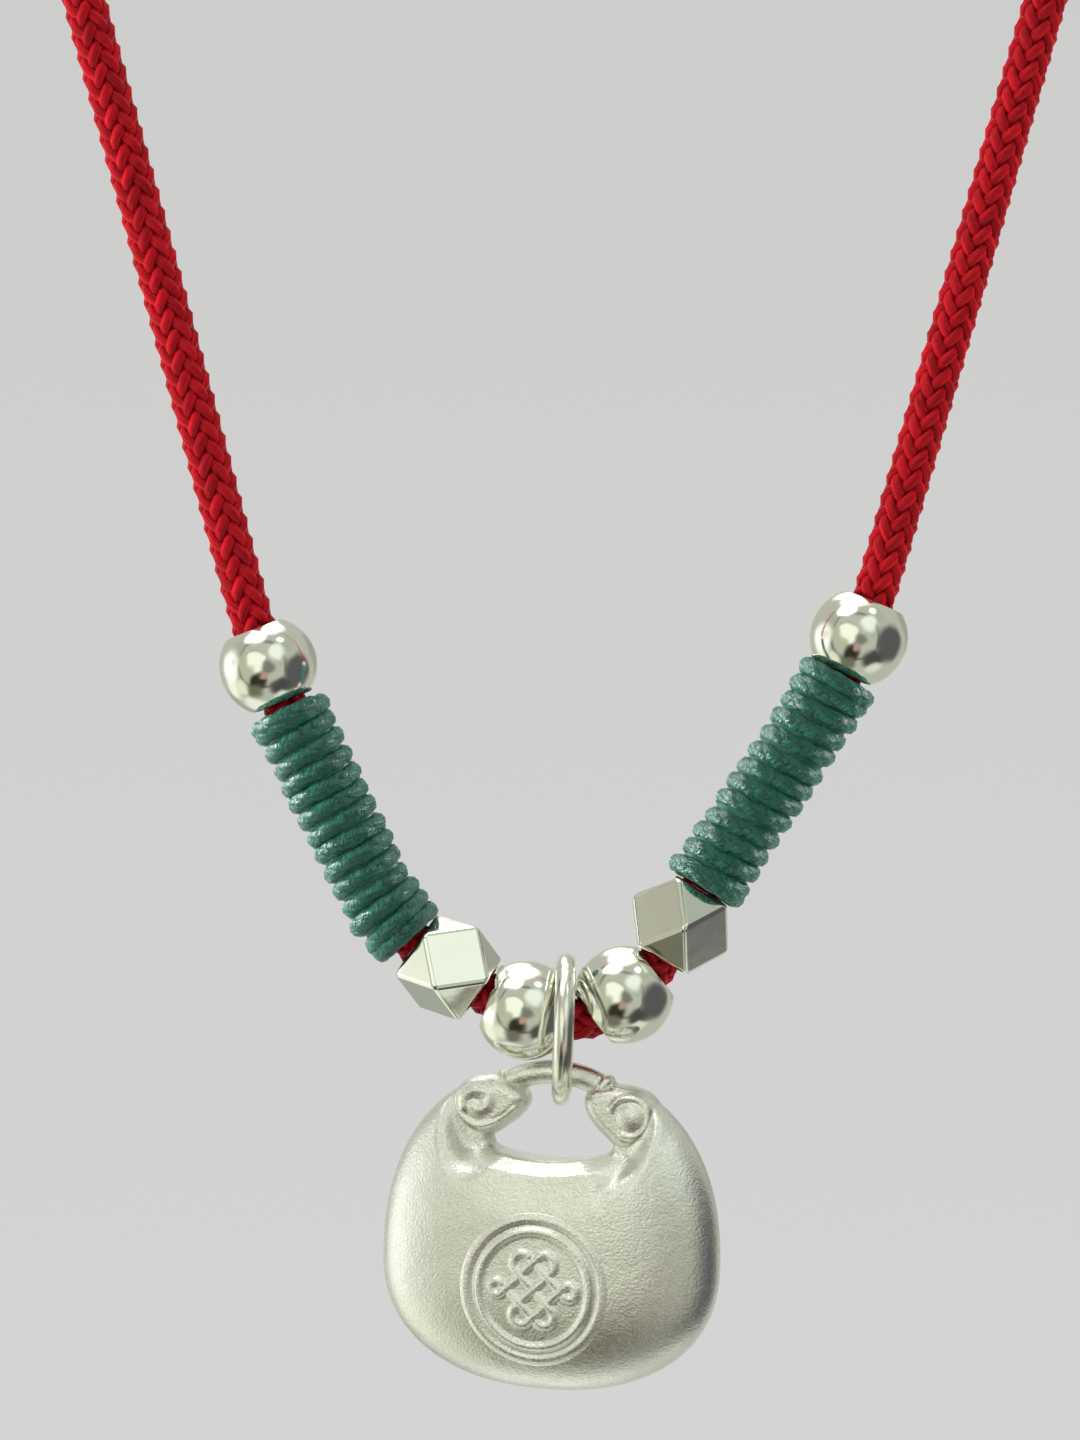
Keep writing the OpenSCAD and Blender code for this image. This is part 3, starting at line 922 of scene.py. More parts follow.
@dataclass
class ThreadWrap:
    """Close turns of twisted thread wound round the cord.

    Where a size is called a share, it is a share of half the thread's thickness.
    """

    route: Route
    side: Side
    start: float
    end: float
    turns: int
    thread_d: float
    inner_r: float = 1.95
    plies: int = 3
    lay: float = 5.2
    reach: float = 0.0
    per_turn: int = 44
    knots_per_turn: int = 3
    seed: int = 5
    end_turn: float = 0.9
    start_angle: float = 0.7
    uneven: float = 0.15
    lumps: float = 0.09
    flare: float = 0.16
    pressed_share: float = 0.8
    ply_offset_share: Pair = (0.24, 0.22)
    ply_size_share: Pair = (0.78, 0.66)
    ply_sides: int = 8
    sleeve_depth: float = 0.45
    sleeve_inset: float = 0.5
    sleeve_rings: int = 30
    sleeve_sides: int = 24

    def build(self, sweep: LineSweep, finish: Material) -> Object:
        """Winds the thread's plies in a helix.

        Args:
            sweep: The tree that gives the plies their section.
            finish: The thread's material.

        Returns:
            The wrap as one mesh.
        """
        half, pressed = self.thread_d / 2, self.pressed_share
        rng = np.random.default_rng(self.seed)
        length = self.turns + self.end_turn
        u = np.linspace(0, length, int(length * self.per_turn) + 1)
        knots = np.arange(self.knots_per_turn * (self.turns + 1) + 1) / self.knots_per_turn
        uneven = np.interp(u, knots, rng.normal(0, self.uneven, len(knots)))
        lumps = np.interp(u, knots, rng.normal(0, self.lumps, len(knots)))
        # The first and the last turn lie square to the cord, so the wrap's ends are flat
        share = np.clip((u - self.end_turn) / (self.turns - 1), 0, 1)
        start, end = self.start - self.reach, self.end + self.reach
        s = start + half + share * (end - start - 2 * half) + uneven * half * pressed
        s = np.clip(s, start + pressed * half, end - pressed * half)
        flare = self.flare * np.abs(2 * share - 1) ** 3
        angle = 2 * math.pi * u + self.start_angle
        radius = self.inner_r + half * pressed + lumps + flare
        turn_len = 2 * math.pi * (self.inner_r + half)
        beside, above = self.ply_offset_share
        width, thickness = self.ply_size_share
        lines, outs = [], []
        for ply in range(self.plies):
            spin = 2 * math.pi * (u * turn_len / self.lay + ply / self.plies)
            line, out = self.route.round(
                s + half * beside * np.cos(spin), radius + half * above * np.sin(spin), angle
            )
            lines.append(line)
            outs.append(out)
        name = f"wound_thread_{self.side.name.lower()}"
        drawn = line_object(f"{name}_lines", lines, outs)
        made = sweep.run(f"{name}_plies", drawn, half * width, half * thickness, self.ply_sides, finish)
        sleeve = self._sleeve(name)
        dress(sleeve, finish)
        made = join(name, [made, sleeve])
        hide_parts(f"thread_wrap_{self.side.name.lower()}")
        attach(made, "necklace")
        return made

    def _sleeve(self, name: str) -> Object:
        """Makes the dark layer that closes the wrap between its turns."""
        sides = self.sleeve_sides
        inner, outer = self.inner_r, self.inner_r + self.thread_d * self.sleeve_depth
        lengths = np.linspace(self.start + self.sleeve_inset, self.end - self.sleeve_inset, self.sleeve_rings)
        loop = [(x, outer) for x in lengths] + [(x, inner) for x in lengths[::-1]]
        s, r = (np.repeat(values, sides) for values in zip(*loop))
        points, _ = self.route.round(s, r, np.tile(even_angles(sides), len(loop)))
        made = mesh_object(f"{name}_sleeve", points, ring_faces(len(loop), sides, wrap=True))
        mend_normals(made)
        blank_values(made)
        return made


# ---------------------------------------------------------------- beads, sleeve and ring


@dataclass
class RoundBead:
    """A polished ball, flat at both ends and bored for the cord."""

    spacing: Spacing
    node: str
    s: float
    bore_play: float = 1.0
    sides: int = 96
    ball_points: int = 49
    mouth_points: int = 11
    wall_points: int = 10

    def build(self, finish: Material) -> Object:
        """Turns the bead and threads it on the cord.

        Args:
            finish: The bead's material.

        Returns:
            The bead.
        """
        r, half = self.spacing.bead_d / 2, self.spacing.bead_len / 2
        bore = (self.spacing.cord_d + self.bore_play) / 2
        # The mouth's rounding touches the ball, the flat end and the bore
        spare = bore - half + r
        lip = math.sqrt(spare**2 - bore**2 - half**2 + r**2) - spare
        lip_r, top = bore + lip, half - lip
        edge = math.atan2(top, lip_r)
        arc = [(r * math.cos(a), r * math.sin(a)) for a in np.linspace(-edge, edge, self.ball_points)]
        bend = np.linspace(edge, math.pi, self.mouth_points)[1:]
        ends = [(lip_r + lip * math.cos(a), top + lip * math.sin(a)) for a in bend]
        wall = [(bore, h) for h in np.linspace(top, -top, self.wall_points)[1:-1]]
        profile = arc + ends + wall + [(x, -h) for x, h in ends[::-1]]
        made = lathe(f"{self.node}_turned", profile, self.sides)
        centre, lean = self.spacing.route.seat(self.s, half)
        made.data.transform(Matrix.Translation(centre * MM) @ Matrix.Rotation(lean, 4, "Y"))
        dress(made, finish)
        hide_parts(self.node)
        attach(made, "necklace")
        return made


@dataclass
class FacetedBead:
    """A cube with its corners cut to the middle of its edges, with softened edges."""

    node: str
    edge_r: float = 0.3
    edge_steps: int = 4
    merge: float = 0.002
    flat_angle: float = 1.0
    sharp_angle: float = 25.0
    shortest_edge: float = 1.0

    def build(self, finish: Material) -> Object:
        """Softens the edges of a copy of the modelled bead.

        Args:
            finish: The bead's material.

        Returns:
            The bead.
        """
        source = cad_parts[self.node]
        mesh = source.data.copy()
        mesh.name = f"{self.node}_cut"
        made = link_object(mesh.name, mesh)
        work = bmesh.new()
        work.from_mesh(mesh)
        bmesh.ops.remove_doubles(work, verts=work.verts, dist=self.merge * MM)
        flat, sharp = math.radians(self.flat_angle), math.radians(self.sharp_angle)
        bmesh.ops.dissolve_limit(work, angle_limit=flat, verts=work.verts, edges=work.edges)
        shortest = self.shortest_edge * MM
        bmesh.ops.bevel(
            work,
            geom=[e for e in work.edges if e.calc_length() > shortest and e.calc_face_angle(0) > sharp],
            offset=self.edge_r * MM,
            segments=self.edge_steps,
            profile=0.5,
            affect="EDGES",
            clamp_overlap=False,
        )
        bmesh.ops.recalc_face_normals(work, faces=work.faces)
        work.to_mesh(mesh)
        work.free()
        mesh.polygons.foreach_set("use_smooth", [True] * len(mesh.polygons))
        sharpen = made.modifiers.new("facets", "WEIGHTED_NORMAL")
        sharpen.weight = 100
        sharpen.keep_sharp = True
        dress(made, finish)
        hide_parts(self.node)
        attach(made, "necklace")
        return made


@dataclass
class NapeSleeve:
    """The plain sleeve that joins the cord's ends at the nape."""

    diameter: float = 6.0
    length: float = 14.0
    play: float = 0.4
    cord_d: float = 3.6
    floor: float = 3.5
    core_r: float = 0.02
    mouth_r: float = 0.35
    end_r: float = 1.0
    collar: float = 2.6
    waist: float = 2.9
    waist_depth: float = 0.25
    step_r: float = 0.1
    sides: int = 64
    arc_steps: int = 6

    def build(self, finish: Material) -> Object:
        """Turns the sleeve along X, with a blind socket at each end.

        Args:
            finish: The sleeve's material.

        Returns:
            The sleeve.
        """
        r, half, bore = self.diameter / 2, self.length / 2, (self.cord_d + self.play) / 2
        right = [
            (self.core_r, self.floor, 0),
            (bore, self.floor, 0),
            (bore, half, self.mouth_r),
            (r, half, self.end_r),
            (r, half - self.collar, self.step_r),
            (r - self.waist_depth, half - self.waist, self.step_r),
        ]
        left = [(x, -z, rounding) for x, z, rounding in right[::-1]]
        made = lathe("nape_sleeve_turned", rounded(right + left, self.arc_steps), self.sides)
        made.data.transform(Matrix.Rotation(math.pi / 2, 4, "Y"))
        dress(made, finish)
        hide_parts("cord_clasp")
        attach(made, "necklace")
        return made


@dataclass
class JumpRing:
    """The round wire ring, cut once and closed again."""

    spacing: Spacing
    joint_angle: float = 57.0
    joint_depth: float = 0.07
    joint_w: float = 0.12
    turns: int = 240
    sides: int = 28

    def build(self, finish: Material) -> Object:
        """Bends the wire into its ring and marks the joint.

        Args:
            finish: The wire's material.

        Returns:
            The ring.
        """
        r, wire = self.spacing.ring_r, self.spacing.wire_d / 2
        cut = math.radians(self.joint_angle)
        points = []
        for a in even_angles(self.turns) + cut:
            away = abs((a - cut + math.pi) % (2 * math.pi) - math.pi) * r
            thin = wire - self.joint_depth * math.exp(-((away / self.joint_w) ** 2))
            for b in even_angles(self.sides):
                reach = r + thin * math.cos(b)
                points.append((thin * math.sin(b), -reach * math.cos(a), reach * math.sin(a)))
        made = mesh_object("jump_ring_wire", np.array(points), ring_faces(self.turns, self.sides, wrap=True))
        mend_normals(made)
        lean = Matrix.Rotation(math.radians(self.spacing.ring_lean), 4, "Y")
        made.data.transform(Matrix.Translation(self.spacing.ring_centre * MM) @ lean)
        dress(made, finish)
        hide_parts("jump_ring")
        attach(made, "hanging_ring")
        return made


# ---------------------------------------------------------------- the lock


def ease(v: Array) -> Array:
    """Goes smoothly from 0 to 1."""
    u = np.clip(v, 0, 1)
    return u * u * (3 - 2 * u)


def ridge(away: Array, width: float, power: float = 2) -> Array:
    """Falls from 1 in the middle of a line to 0 far from it.

    Args:
        away: The distances from the line's middle.
        width: The distance where about a third is left.
        power: How square the top is.

    Returns:
        The share of the line's height at each distance.
    """
    return np.exp(-((away / width) ** power))


def between(ends: Pair, share: Array) -> Array:
    """Goes from the first value to the second one."""
    return ends[0] + (ends[1] - ends[0]) * share


def near_lines(u: Array, v: Array, lines: Sequence[Array]) -> Array:
    """Finds how far points lie from the nearest of some open lines.

    Args:
        u: The points' first coordinates.
        v: Their second coordinates.
        lines: The lines, each a row of corner points.

    Returns:
        The distance of each point.
    """
    near = np.full(np.shape(u), FAR)
    for line in lines:
        for (ax, az), (bx, bz) in zip(line[:-1], line[1:]):
            dx, dz = bx - ax, bz - az
            t = np.clip(((u - ax) * dx + (v - az) * dz) / (dx * dx + dz * dz), 0, 1)
            near = np.minimum(near, np.hypot(u - ax - t * dx, v - az - t * dz))
    return near


def smooth_line(corners: Sequence[Pair], closed: bool = False, steps: int = 8) -> Array:
    """Draws a smooth line through corner points.

    Args:
        corners: The points that the line passes through.
        closed: Whether the line returns to its start.
        steps: The number of short lines between two corners.

    Returns:
        The line's points.
    """
    p = np.array(corners, float)
    ends = (p[-1:], p[:2]) if closed else (2 * p[:1] - p[1:2], 2 * p[-1:] - p[-2:-1])
    q = np.vstack([ends[0], p, ends[1]])
    t = np.linspace(0, 1, steps, endpoint=False)[:, None]
    parts = []
    for i in range(1, len(q) - 2):
        a, b, c, d = q[i - 1], q[i], q[i + 1], q[i + 2]
        parts.append(
            ((-a + 3 * b - 3 * c + d) * t**3 + (2 * a - 5 * b + 4 * c - d) * t**2 + (c - a) * t + 2 * b) / 2
        )
    return np.vstack(parts if closed else parts + [p[-1:]])


@dataclass(frozen=True)
class ScrollForm:
    """One scroll of the lock, as its maker would draw it from the front.

    The eye is X, Z, radius and height, and a radius of 0 leaves it out. A dip is the depth, distance and
    width of the groove beside the rim or the eye.
    """

    side: Side
    middle: Pair
    outline: Points
    rim: Points
    curl: Points = ()
    eye: tuple[float, float, float, float] = (0.0, 0.0, 0.0, 0.0)
    thickness: float = 3.3
    edge_r: float = 1.15
    line_w: float = 0.33
    line_h: float = 0.21
    curl_w: float = 1.3
    rim_dip: Triple = (0.08, 0.7, 0.35)
    eye_dip: Triple = (0.09, 0.12, 0.22)
    plain_edge: float = 0.5
    spokes: int = 176
    rings: int = 56

    def height(self, x: Array, z: Array) -> Array:
        """Finds the height of the raised rim, curl and eye over points of the scroll."""
        rim = near_lines(x, z, [smooth_line(self.rim)])
        depth, gap, width = self.rim_dip
        high = self.line_h * ridge(rim, self.line_w)
        high -= depth * ridge(rim - gap, width)
        if self.curl:
            curl = near_lines(x, z, [smooth_line(self.curl)])
            high = np.maximum(high, self.line_h * ridge(curl, self.curl_w * self.line_w))
        cx, cz, r, h = self.eye
        if r:
            depth, gap, width = self.eye_dip
            away = np.hypot(x - cx, z - cz)
            high -= depth * ridge(away - r - gap, width)
            high = np.maximum(high, h * (1 - np.clip(away / r, 0, 1) ** 2))
        return high

    def build(self) -> Object:
        """Models the scroll as a closed pillow with its raised lines on the front and the back."""
        spokes, rings = self.spokes, self.rings
        edge = smooth_line(self.outline, closed=True, steps=12) - np.array(self.middle)
        turn = np.unwrap(np.arctan2(edge[:, 1], edge[:, 0])) % (2 * math.pi)
        order = np.argsort(turn)
        angle = even_angles(spokes)
        reach = np.interp(angle, turn[order], np.hypot(*edge.T)[order], period=2 * math.pi)
        share = np.sin(math.pi / 2 * np.linspace(0, 1, rings))[:, None]
        x = self.middle[0] + share * reach * np.cos(angle)
        z = self.middle[1] + share * reach * np.sin(angle)
        border = self.middle + np.stack([reach * np.cos(angle), reach * np.sin(angle)], -1)
        gap = near_lines(x, z, [np.vstack([border, border[:1]])])
        gap[-1] = 0
        half = self.thickness / 2 * np.sqrt(1 - (1 - np.clip(gap / self.edge_r, 0, 1)) ** 2)
        high = self.height(x, z) * ease(gap / self.plain_edge)
        front = np.stack([x, -half - high, z], -1)
        back = np.stack([x, half + high, z], -1)[::-1][1:]
        points = np.concatenate([front.reshape(-1, 3), back.reshape(-1, 3)])
        made = mesh_object(f"scroll_{self.side.name.lower()}", points, ring_faces(2 * rings - 1, spokes))
        mend_normals(made, merge=SAME_POINT)
        return made


LEFT_SCROLL = ScrollForm(
    Side.LEFT,
    middle=(-5.3, -2.7),
    outline=(
        (-3.3, -0.75), (-4.5, -0.4), (-5.85, -0.45), (-7.2, -0.85), (-8.15, -1.8), (-8.3, -3.0),
        (-7.75, -4.2), (-6.7, -5.05), (-5.5, -5.4), (-4.6, -5.0), (-3.74, -4.4), (-2.75, -3.65),
        (-2.1, -2.75), (-2.05, -1.95), (-2.5, -1.25),
    ),
    rim=(
        (-5.5, -0.95), (-6.7, -1.0), (-7.5, -1.55), (-7.8, -2.5), (-7.4, -3.65), (-6.2, -4.45), (-4.8, -4.35),
        (-3.7, -3.85), (-2.75, -3.0),
    ),
    curl=(
        (-7.05, -3.0), (-7.0, -2.3), (-6.4, -1.75), (-5.55, -1.7), (-4.95, -2.15), (-5.1, -2.85),
        (-5.8, -3.2), (-6.35, -2.95),
    ),
)  # fmt: skip
RIGHT_SCROLL = ScrollForm(
    Side.RIGHT,
    middle=(5.5, -3.0),
    outline=(
        (3.5, -0.9), (4.9, -0.65), (6.4, -0.7), (7.8, -1.2), (8.7, -2.3), (8.7, -3.75), (7.95, -5.0),
        (6.7, -5.8), (5.5, -5.75), (4.5, -5.0), (3.5, -4.1), (2.75, -3.1), (2.5, -2.1), (2.75, -1.35),
    ),
    rim=((5.1, -2.5), (5.5, -1.93), (6.2, -1.6), (7.2, -1.65), (7.95, -2.25), (8.12, -3.18), (7.75, -4.07),
         (6.97, -4.55), (6.1, -4.45)),
    eye=(6.65, -3.1, 1.1, 0.27),
)  # fmt: skip


@dataclass
class Medallion:
    """The raised disc on the lock's front: two rings round an endless knot whose lines pass over and under.

    A ring's line is its share of the full height, its half width and how square its top is. The rim sinks
    by a depth, from a distance outside the outer ring, over a width. The root is how far in front of the
    lock's middle the back of the disc lies, inside the body.
    """

    outer_d: float = 11.1
    inner_d: float = 9.1
    outer_line: Triple = (0.8, 0.34, 2.4)
    inner_line: Triple = (1.0, 0.32, 2.6)
    drop: float = 16.7
    line_w: float = 0.5
    line_h: float = 0.27
    line_share: float = 0.58
    line_power: int = 3
    knot_step: float = 1.55
    knot_reach: float = 1.35
    level: float = 0.8
    weave: float = 0.2
    arc_points: int = 19
    ground: float = 0.1
    ground_fade: float = 0.5
    skirt: float = 0.62
    rim_sink: Triple = (0.12, 0.42, 0.2)
    bed: float = 0.22
    bed_fade: float = 0.3
    root: float = 2.0
    spokes: int = 288
    rings: int = 110

    def relief(self, u: Array, v: Array) -> Array:
        """Finds the height of the raised lines over points measured from the disc's middle."""
        r = np.hypot(u, v)
        high = np.zeros(r.shape)
        for diameter, (share, width, power) in (
            (self.outer_d, self.outer_line),
            (self.inner_d, self.inner_line),
        ):
            high = np.maximum(high, share * self.line_h * ridge(np.abs(r - diameter / 2), width, power))
        c = math.cos(math.pi / 4)
        p, q = (u - v) * c, (u + v) * c
        step, reach = self.knot_step, self.knot_step * self.knot_reach
        for a, b, lead in ((p, q, 1), (q, p, -1)):
            # One way's lines lie on top where the other way's lie below
            bars = [np.array([(k * step, -reach), (k * step, reach)]) for k in (-1, 0, 1)]
            over = self.level + self.weave * lead * np.cos(math.pi * a / step) * np.cos(math.pi * b / step)
            high = np.maximum(high, self.stroke(near_lines(a, b, bars)) * over)
            loops = [self.arc(-step / 2, reach, 180, 0), self.arc(step / 2, -reach, 180, 360)]
            high = np.maximum(high, self.stroke(near_lines(a, b, loops)) * self.level)
        corner = self.arc(reach, reach, 180, -90, reach - step)
        return np.maximum(high, self.stroke(near_lines(p, q, [corner, -corner])) * self.level)

    def stroke(self, near: Array) -> Array:
        """Finds a flat-topped line's height from the distance to its middle."""
        return self.line_h * ridge(near, self.line_share * self.line_w, self.line_power)

    def arc(self, cx: float, cz: float, a0: float, a1: float, radius: float | None = None) -> Array:
        """Makes an arc's points, by default with the radius of the knot's end loops."""
        r = self.knot_step / 2 if radius is None else radius
        a = np.radians(np.linspace(a0, a1, self.arc_points))
        return np.stack([cx + r * np.cos(a), cz + r * np.sin(a)], -1)


# The way round the window's edge from its foot, and there its share of the half width and of the depth
WINDOW_EDGE = (
    (0, 0.15, 0.3, 0.4, 0.5, 0.65, 0.8, 0.9, 1),
    (0, 0.42, 0.82, 0.98, 1.01, 1, 0.97, 0.93, 0.88),
    (1, 0.98, 0.925, 0.86, 0.77, 0.6, 0.4, 0.25, 0.1),
)
CREASES = (
    ((-8.1, -2.0), (-7.95, -3.4), (-7.65, -4.5), (-6.9, -6.0), (-5.8, -7.0), (-4.4, -7.7), (-3.2, -8.0)),
    ((8.2, -2.6), (8.0, -4.2), (7.3, -5.7), (6.4, -7.1), (5.5, -8.4), (4.6, -9.8)),
)


@dataclass
class Lock:
    """The silver lock: puffed body, bar, two scrolls and the raised medallion, soldered together.

    The body is thin at the window's edge and rises to its full thickness between two shares of the way out,
    which differ straight below the window and at its sides. A crease is a depth and a width, and the swell
    beside it a height, a distance and a width.
    """

    spacing: Spacing
    medallion: Medallion
    lock_w: float = 27.6
    lock_t: float = 8.6
    belly_drop: float = 14.7
    shoulder_h: float = 15.2
    foot_h: float = 10.2
    window_w: float = 9.9
    window_drop: float = 6.7
    rim_t: float = 2.5
    brow_t: float = 7.6
    rim_round: float = 1.1
    bevel_w: float = 1.25
    bevel_thin: float = 0.76
    bevel_foot: float = 0.25
    bevel_span: Pair = (0.28, 0.2)
    fold_w: float = 7.8
    fold_drop: float = 10.0
    fold_from: float = 42.0
    fold_to: float = 68.0
    middle_rise: Pair = (0.48, 1.32)
    side_rise: Pair = (0.86, 1.22)
    crease: Pair = (0.15, 0.5)
    swell: Triple = (0.12, 0.9, 0.55)
    swell_fade: float = 0.8
    crease_start: Pair = (0.5, 1.5)
    crease_end: Pair = (2.2, 2.6)
    crease_side: float = 1.5
    crease_edge: Pair = (1.0, 0.6)
    crease_window: float = 1.4
    lock_turn: float = 18.0
    lock_roll: float = 2.0
    crown_shift: float = 0.45
    bar_span: float = 8.2
    bar_rise: float = 1.1
    bar_tuck: float = 0.1
    bar_rings: int = 90
    bar_sides: int = 28
    ferrule_d: float = 2.35
    ferrule_line: Pair = (0.12, 0.3)
    shoulder_pow: float = 2.3
    foot_pow: float = 2.25
    dome_pow: float = 3.0
    arm_angle: float = 150.0
    sections: int = 380
    front_points: int = 96
    back_points: int = 30
    crowding: float = 0.6

    def outline(self, a: Array) -> Array:
        """Finds the outline's X and Z: 0 degrees is the foot, 180 the crown."""
        low = a < 90
        e = np.where(low, 2 / self.foot_pow, 2 / self.shoulder_pow)
        rad = np.radians(a)
        height = np.where(low, -self.foot_h, self.shoulder_h)
        x = self.lock_w / 2 * np.sin(rad) ** e
        return np.stack([x, height * np.abs(np.cos(rad)) ** e - self.belly_drop], -1)

    def window(self, way: Array) -> Array:
        """Finds the window's edge, from its lowest point up one side."""
        ways, wide, deep = WINDOW_EDGE
        x = self.window_w / 2 * np.interp(way, ways, wide)
        return np.stack([x, -self.window_drop * np.interp(way, ways, deep)], -1)

    def puff(self, x: Array, z: Array) -> Array:
        """Finds half the body's thickness over points of its front, without creases."""
        h = z + self.belly_drop
        low = h < 0
        e = np.where(low, self.foot_pow, self.shoulder_pow)
        tall = np.where(low, self.foot_h, self.shoulder_h)
        out = ((np.abs(x) / (self.lock_w / 2)) ** e + (np.abs(h) / tall) ** e) ** (1 / e)
        full = self.lock_t / 2 * np.sqrt(np.maximum(0, 1 - out**self.dome_pow))
        mid = self.window_drop / 2
        f = np.hypot(x / self.fold_w, (z + mid) / (self.fold_drop - mid))
        turn = np.degrees(np.arctan2(np.abs(x), -(z + mid)))
        side = ease((turn - self.fold_from) / (self.fold_to - self.fold_from))
        r0, r1 = (between(ends, side) for ends in zip(self.middle_rise, self.side_rise))
        rim = between((self.brow_t, self.rim_t), side) / 2
        return np.minimum(full, rim + (full - rim) * ease((f - r0) / (r1 - r0)))

    def folds(self, x: Array, z: Array) -> Array:
        """Finds how deep the front dips along the two creases and swells just outside them."""
        dip = np.zeros(np.shape(x))
        mid = self.window_drop / 2
        (depth, width), (swell, gap, swell_w) = self.crease, self.swell
        (start, run_in), (end, run_out) = self.crease_start, self.crease_end
        for corners in CREASES:
            line = smooth_line(corners)
            near = near_lines(x, z, [line])
            same_side = ease(x * math.copysign(1.0, corners[0][0]) / self.crease_side)
            live = ease((-z - start) / run_in) * (1 - ease((-z + corners[-1][1] + end) / run_out))
            outer = np.hypot(x, z + mid) - np.interp(-z, -line[:, 1], np.hypot(line[:, 0], line[:, 1] + mid))
            outside = ease(outer / self.swell_fade + 0.5)
            dip += depth * ridge(near, width) * live * same_side
            dip -= swell * ridge(near - gap, swell_w) * live * same_side * outside
        return dip

    def front(self, x: Array, z: Array) -> Array:
        """Finds how far the plain front stands out over points of the lock."""
        return self.puff(x, z) - self.folds(x, z)

    def body(self) -> Object:
        """Sweeps the puffed body round the window."""
        ways = np.linspace(-1, 1, self.sections + 1)
        even = np.linspace(0, 1, self.front_points + 1)
        spread = self.crowding * (1 - np.cos(math.pi * even)) / 2 + (1 - self.crowding) * even
        rear = (1 - np.cos(math.pi * np.linspace(1, 0, self.back_points + 1))) / 2
        t = np.concatenate([spread, rear[1:-1]])[None, :]
        a = self.window(np.abs(ways))[:, None, :]
        b = self.outline(np.abs(ways) * self.arm_angle)[:, None, :]
        p = a + (b - a) * t[..., None]
        away = t * np.linalg.norm(b - a, axis=-1)
        side = np.where(ways < 0, -1.0, 1.0)[:, None]
        x, z = p[..., 0] * side, p[..., 1]
        half = np.where(t >= 1, 0, self.puff(x, z))
        round_in = np.sqrt(1 - (1 - np.minimum(1, away / self.rim_round)) ** 2)
        # Under the window the edge is a flat bevel with a crisp foot, and elsewhere it is round
        flat = self.bevel_thin + (1 - self.bevel_thin) * np.clip(away / self.bevel_w, 0, 1)
        flat = np.minimum(flat, np.sqrt(np.clip(away / self.bevel_foot, 0, 1)))
        low = 1 - ease((np.abs(ways)[:, None] - self.bevel_span[0]) / self.bevel_span[1])
        shape = between((round_in, flat), low)
        sides = t.shape[1]
        is_front = (np.arange(sides) <= self.front_points)[None, :]
        thin, fade = self.crease_edge
        dip = self.folds(x, z) * ease((half - thin) / fade) * ease(away / self.crease_window)
        disc = self.medallion
        beyond = np.hypot(x, z + disc.drop) - disc.outer_d / 2
        under = disc.bed * (1 - ease(beyond / disc.bed_fade))
        y = np.where(is_front, dip + under - half * shape, half * round_in)
        return tube("lock_body", np.stack([x, y, z], -1).reshape(-1, 3), self.sections + 1, sides)

    def disc(self) -> Object:
        """Models the medallion's ground and raised lines finely, sunk into the body round its border."""
        disc = self.medallion
        angle = even_angles(disc.spokes)
        r = np.linspace(0, disc.outer_d / 2 + disc.skirt, disc.rings)[:, None]
        u, v = r * np.cos(angle), r * np.sin(angle)
        x, z = u, v - disc.drop
        beyond = r - disc.outer_d / 2
        ground = disc.ground * (1 - ease(beyond / disc.ground_fade))
        depth, start, width = disc.rim_sink
        y = -self.front(x, z) - disc.relief(u, v) + ground + depth * ease((beyond - start) / width)
        back = np.stack([x[::-1], y[::-1] * 0 - disc.root, z[::-1]], -1)
        points = np.concatenate([np.stack([x, y, z], -1).reshape(-1, 3), back.reshape(-1, 3)])
        made = mesh_object("medallion_disc", points, ring_faces(2 * disc.rings, disc.spokes))
        mend_normals(made, merge=SAME_POINT)
        return made

    def bar(self) -> Object:
        """Bends the bar into its arch, with a small collar at each end."""
        radius = (self.bar_span**2 / 4 + self.bar_rise**2) / (2 * self.bar_rise)
        reach = math.asin(self.bar_span / 2 / radius) + self.bar_tuck
        place, width = self.ferrule_line
        points = []
        for a in np.linspace(-reach, reach, self.bar_rings):
            away = (reach - self.bar_tuck - abs(a)) * radius
            collar = (self.ferrule_d - self.spacing.bar_d) / 2 * math.exp(-(((away - place) / width) ** 4))
            r = self.spacing.bar_d / 2 + collar
            for b in even_angles(self.bar_sides):
                out = radius + r * math.cos(b)
                points.append((out * math.sin(a), r * math.sin(b), out * math.cos(a) - radius))
        return tube("lock_bar", np.array(points), self.bar_rings, self.bar_sides)

    def build(self, finish: Material) -> Object:
        """Joins the lock's forms and hangs it in the ring.

        Args:
            finish: The lock's satin.

        Returns:
            The lock as one mesh.
        """
        forms = [self.body(), self.disc(), LEFT_SCROLL.build(), RIGHT_SCROLL.build(), self.bar()]
        for form in forms:
            dress(form, finish)
        made = join("lock_cast", forms)
        made.data.transform(
            Matrix.Translation(self.spacing.bar * MM)
            @ Matrix.Rotation(math.radians(-self.lock_turn), 4, "Z")
            @ Matrix.Rotation(math.radians(self.lock_roll), 4, "Y")
            @ Matrix.Translation(Vector((-self.crown_shift * MM, 0, 0)))
        )
        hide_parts("lock")
        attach(made, "hanging_lock")
        return made


# ---------------------------------------------------------------- studio


@dataclass(frozen=True)
class Patch:
    """A soft-edged light or dark part of the room that the silver mirrors.

    The direction points from the necklace to its middle, and the sizes are angles in degrees.
    """

    direction: Triple
    radius: float
    edge: float
    tint: Triple


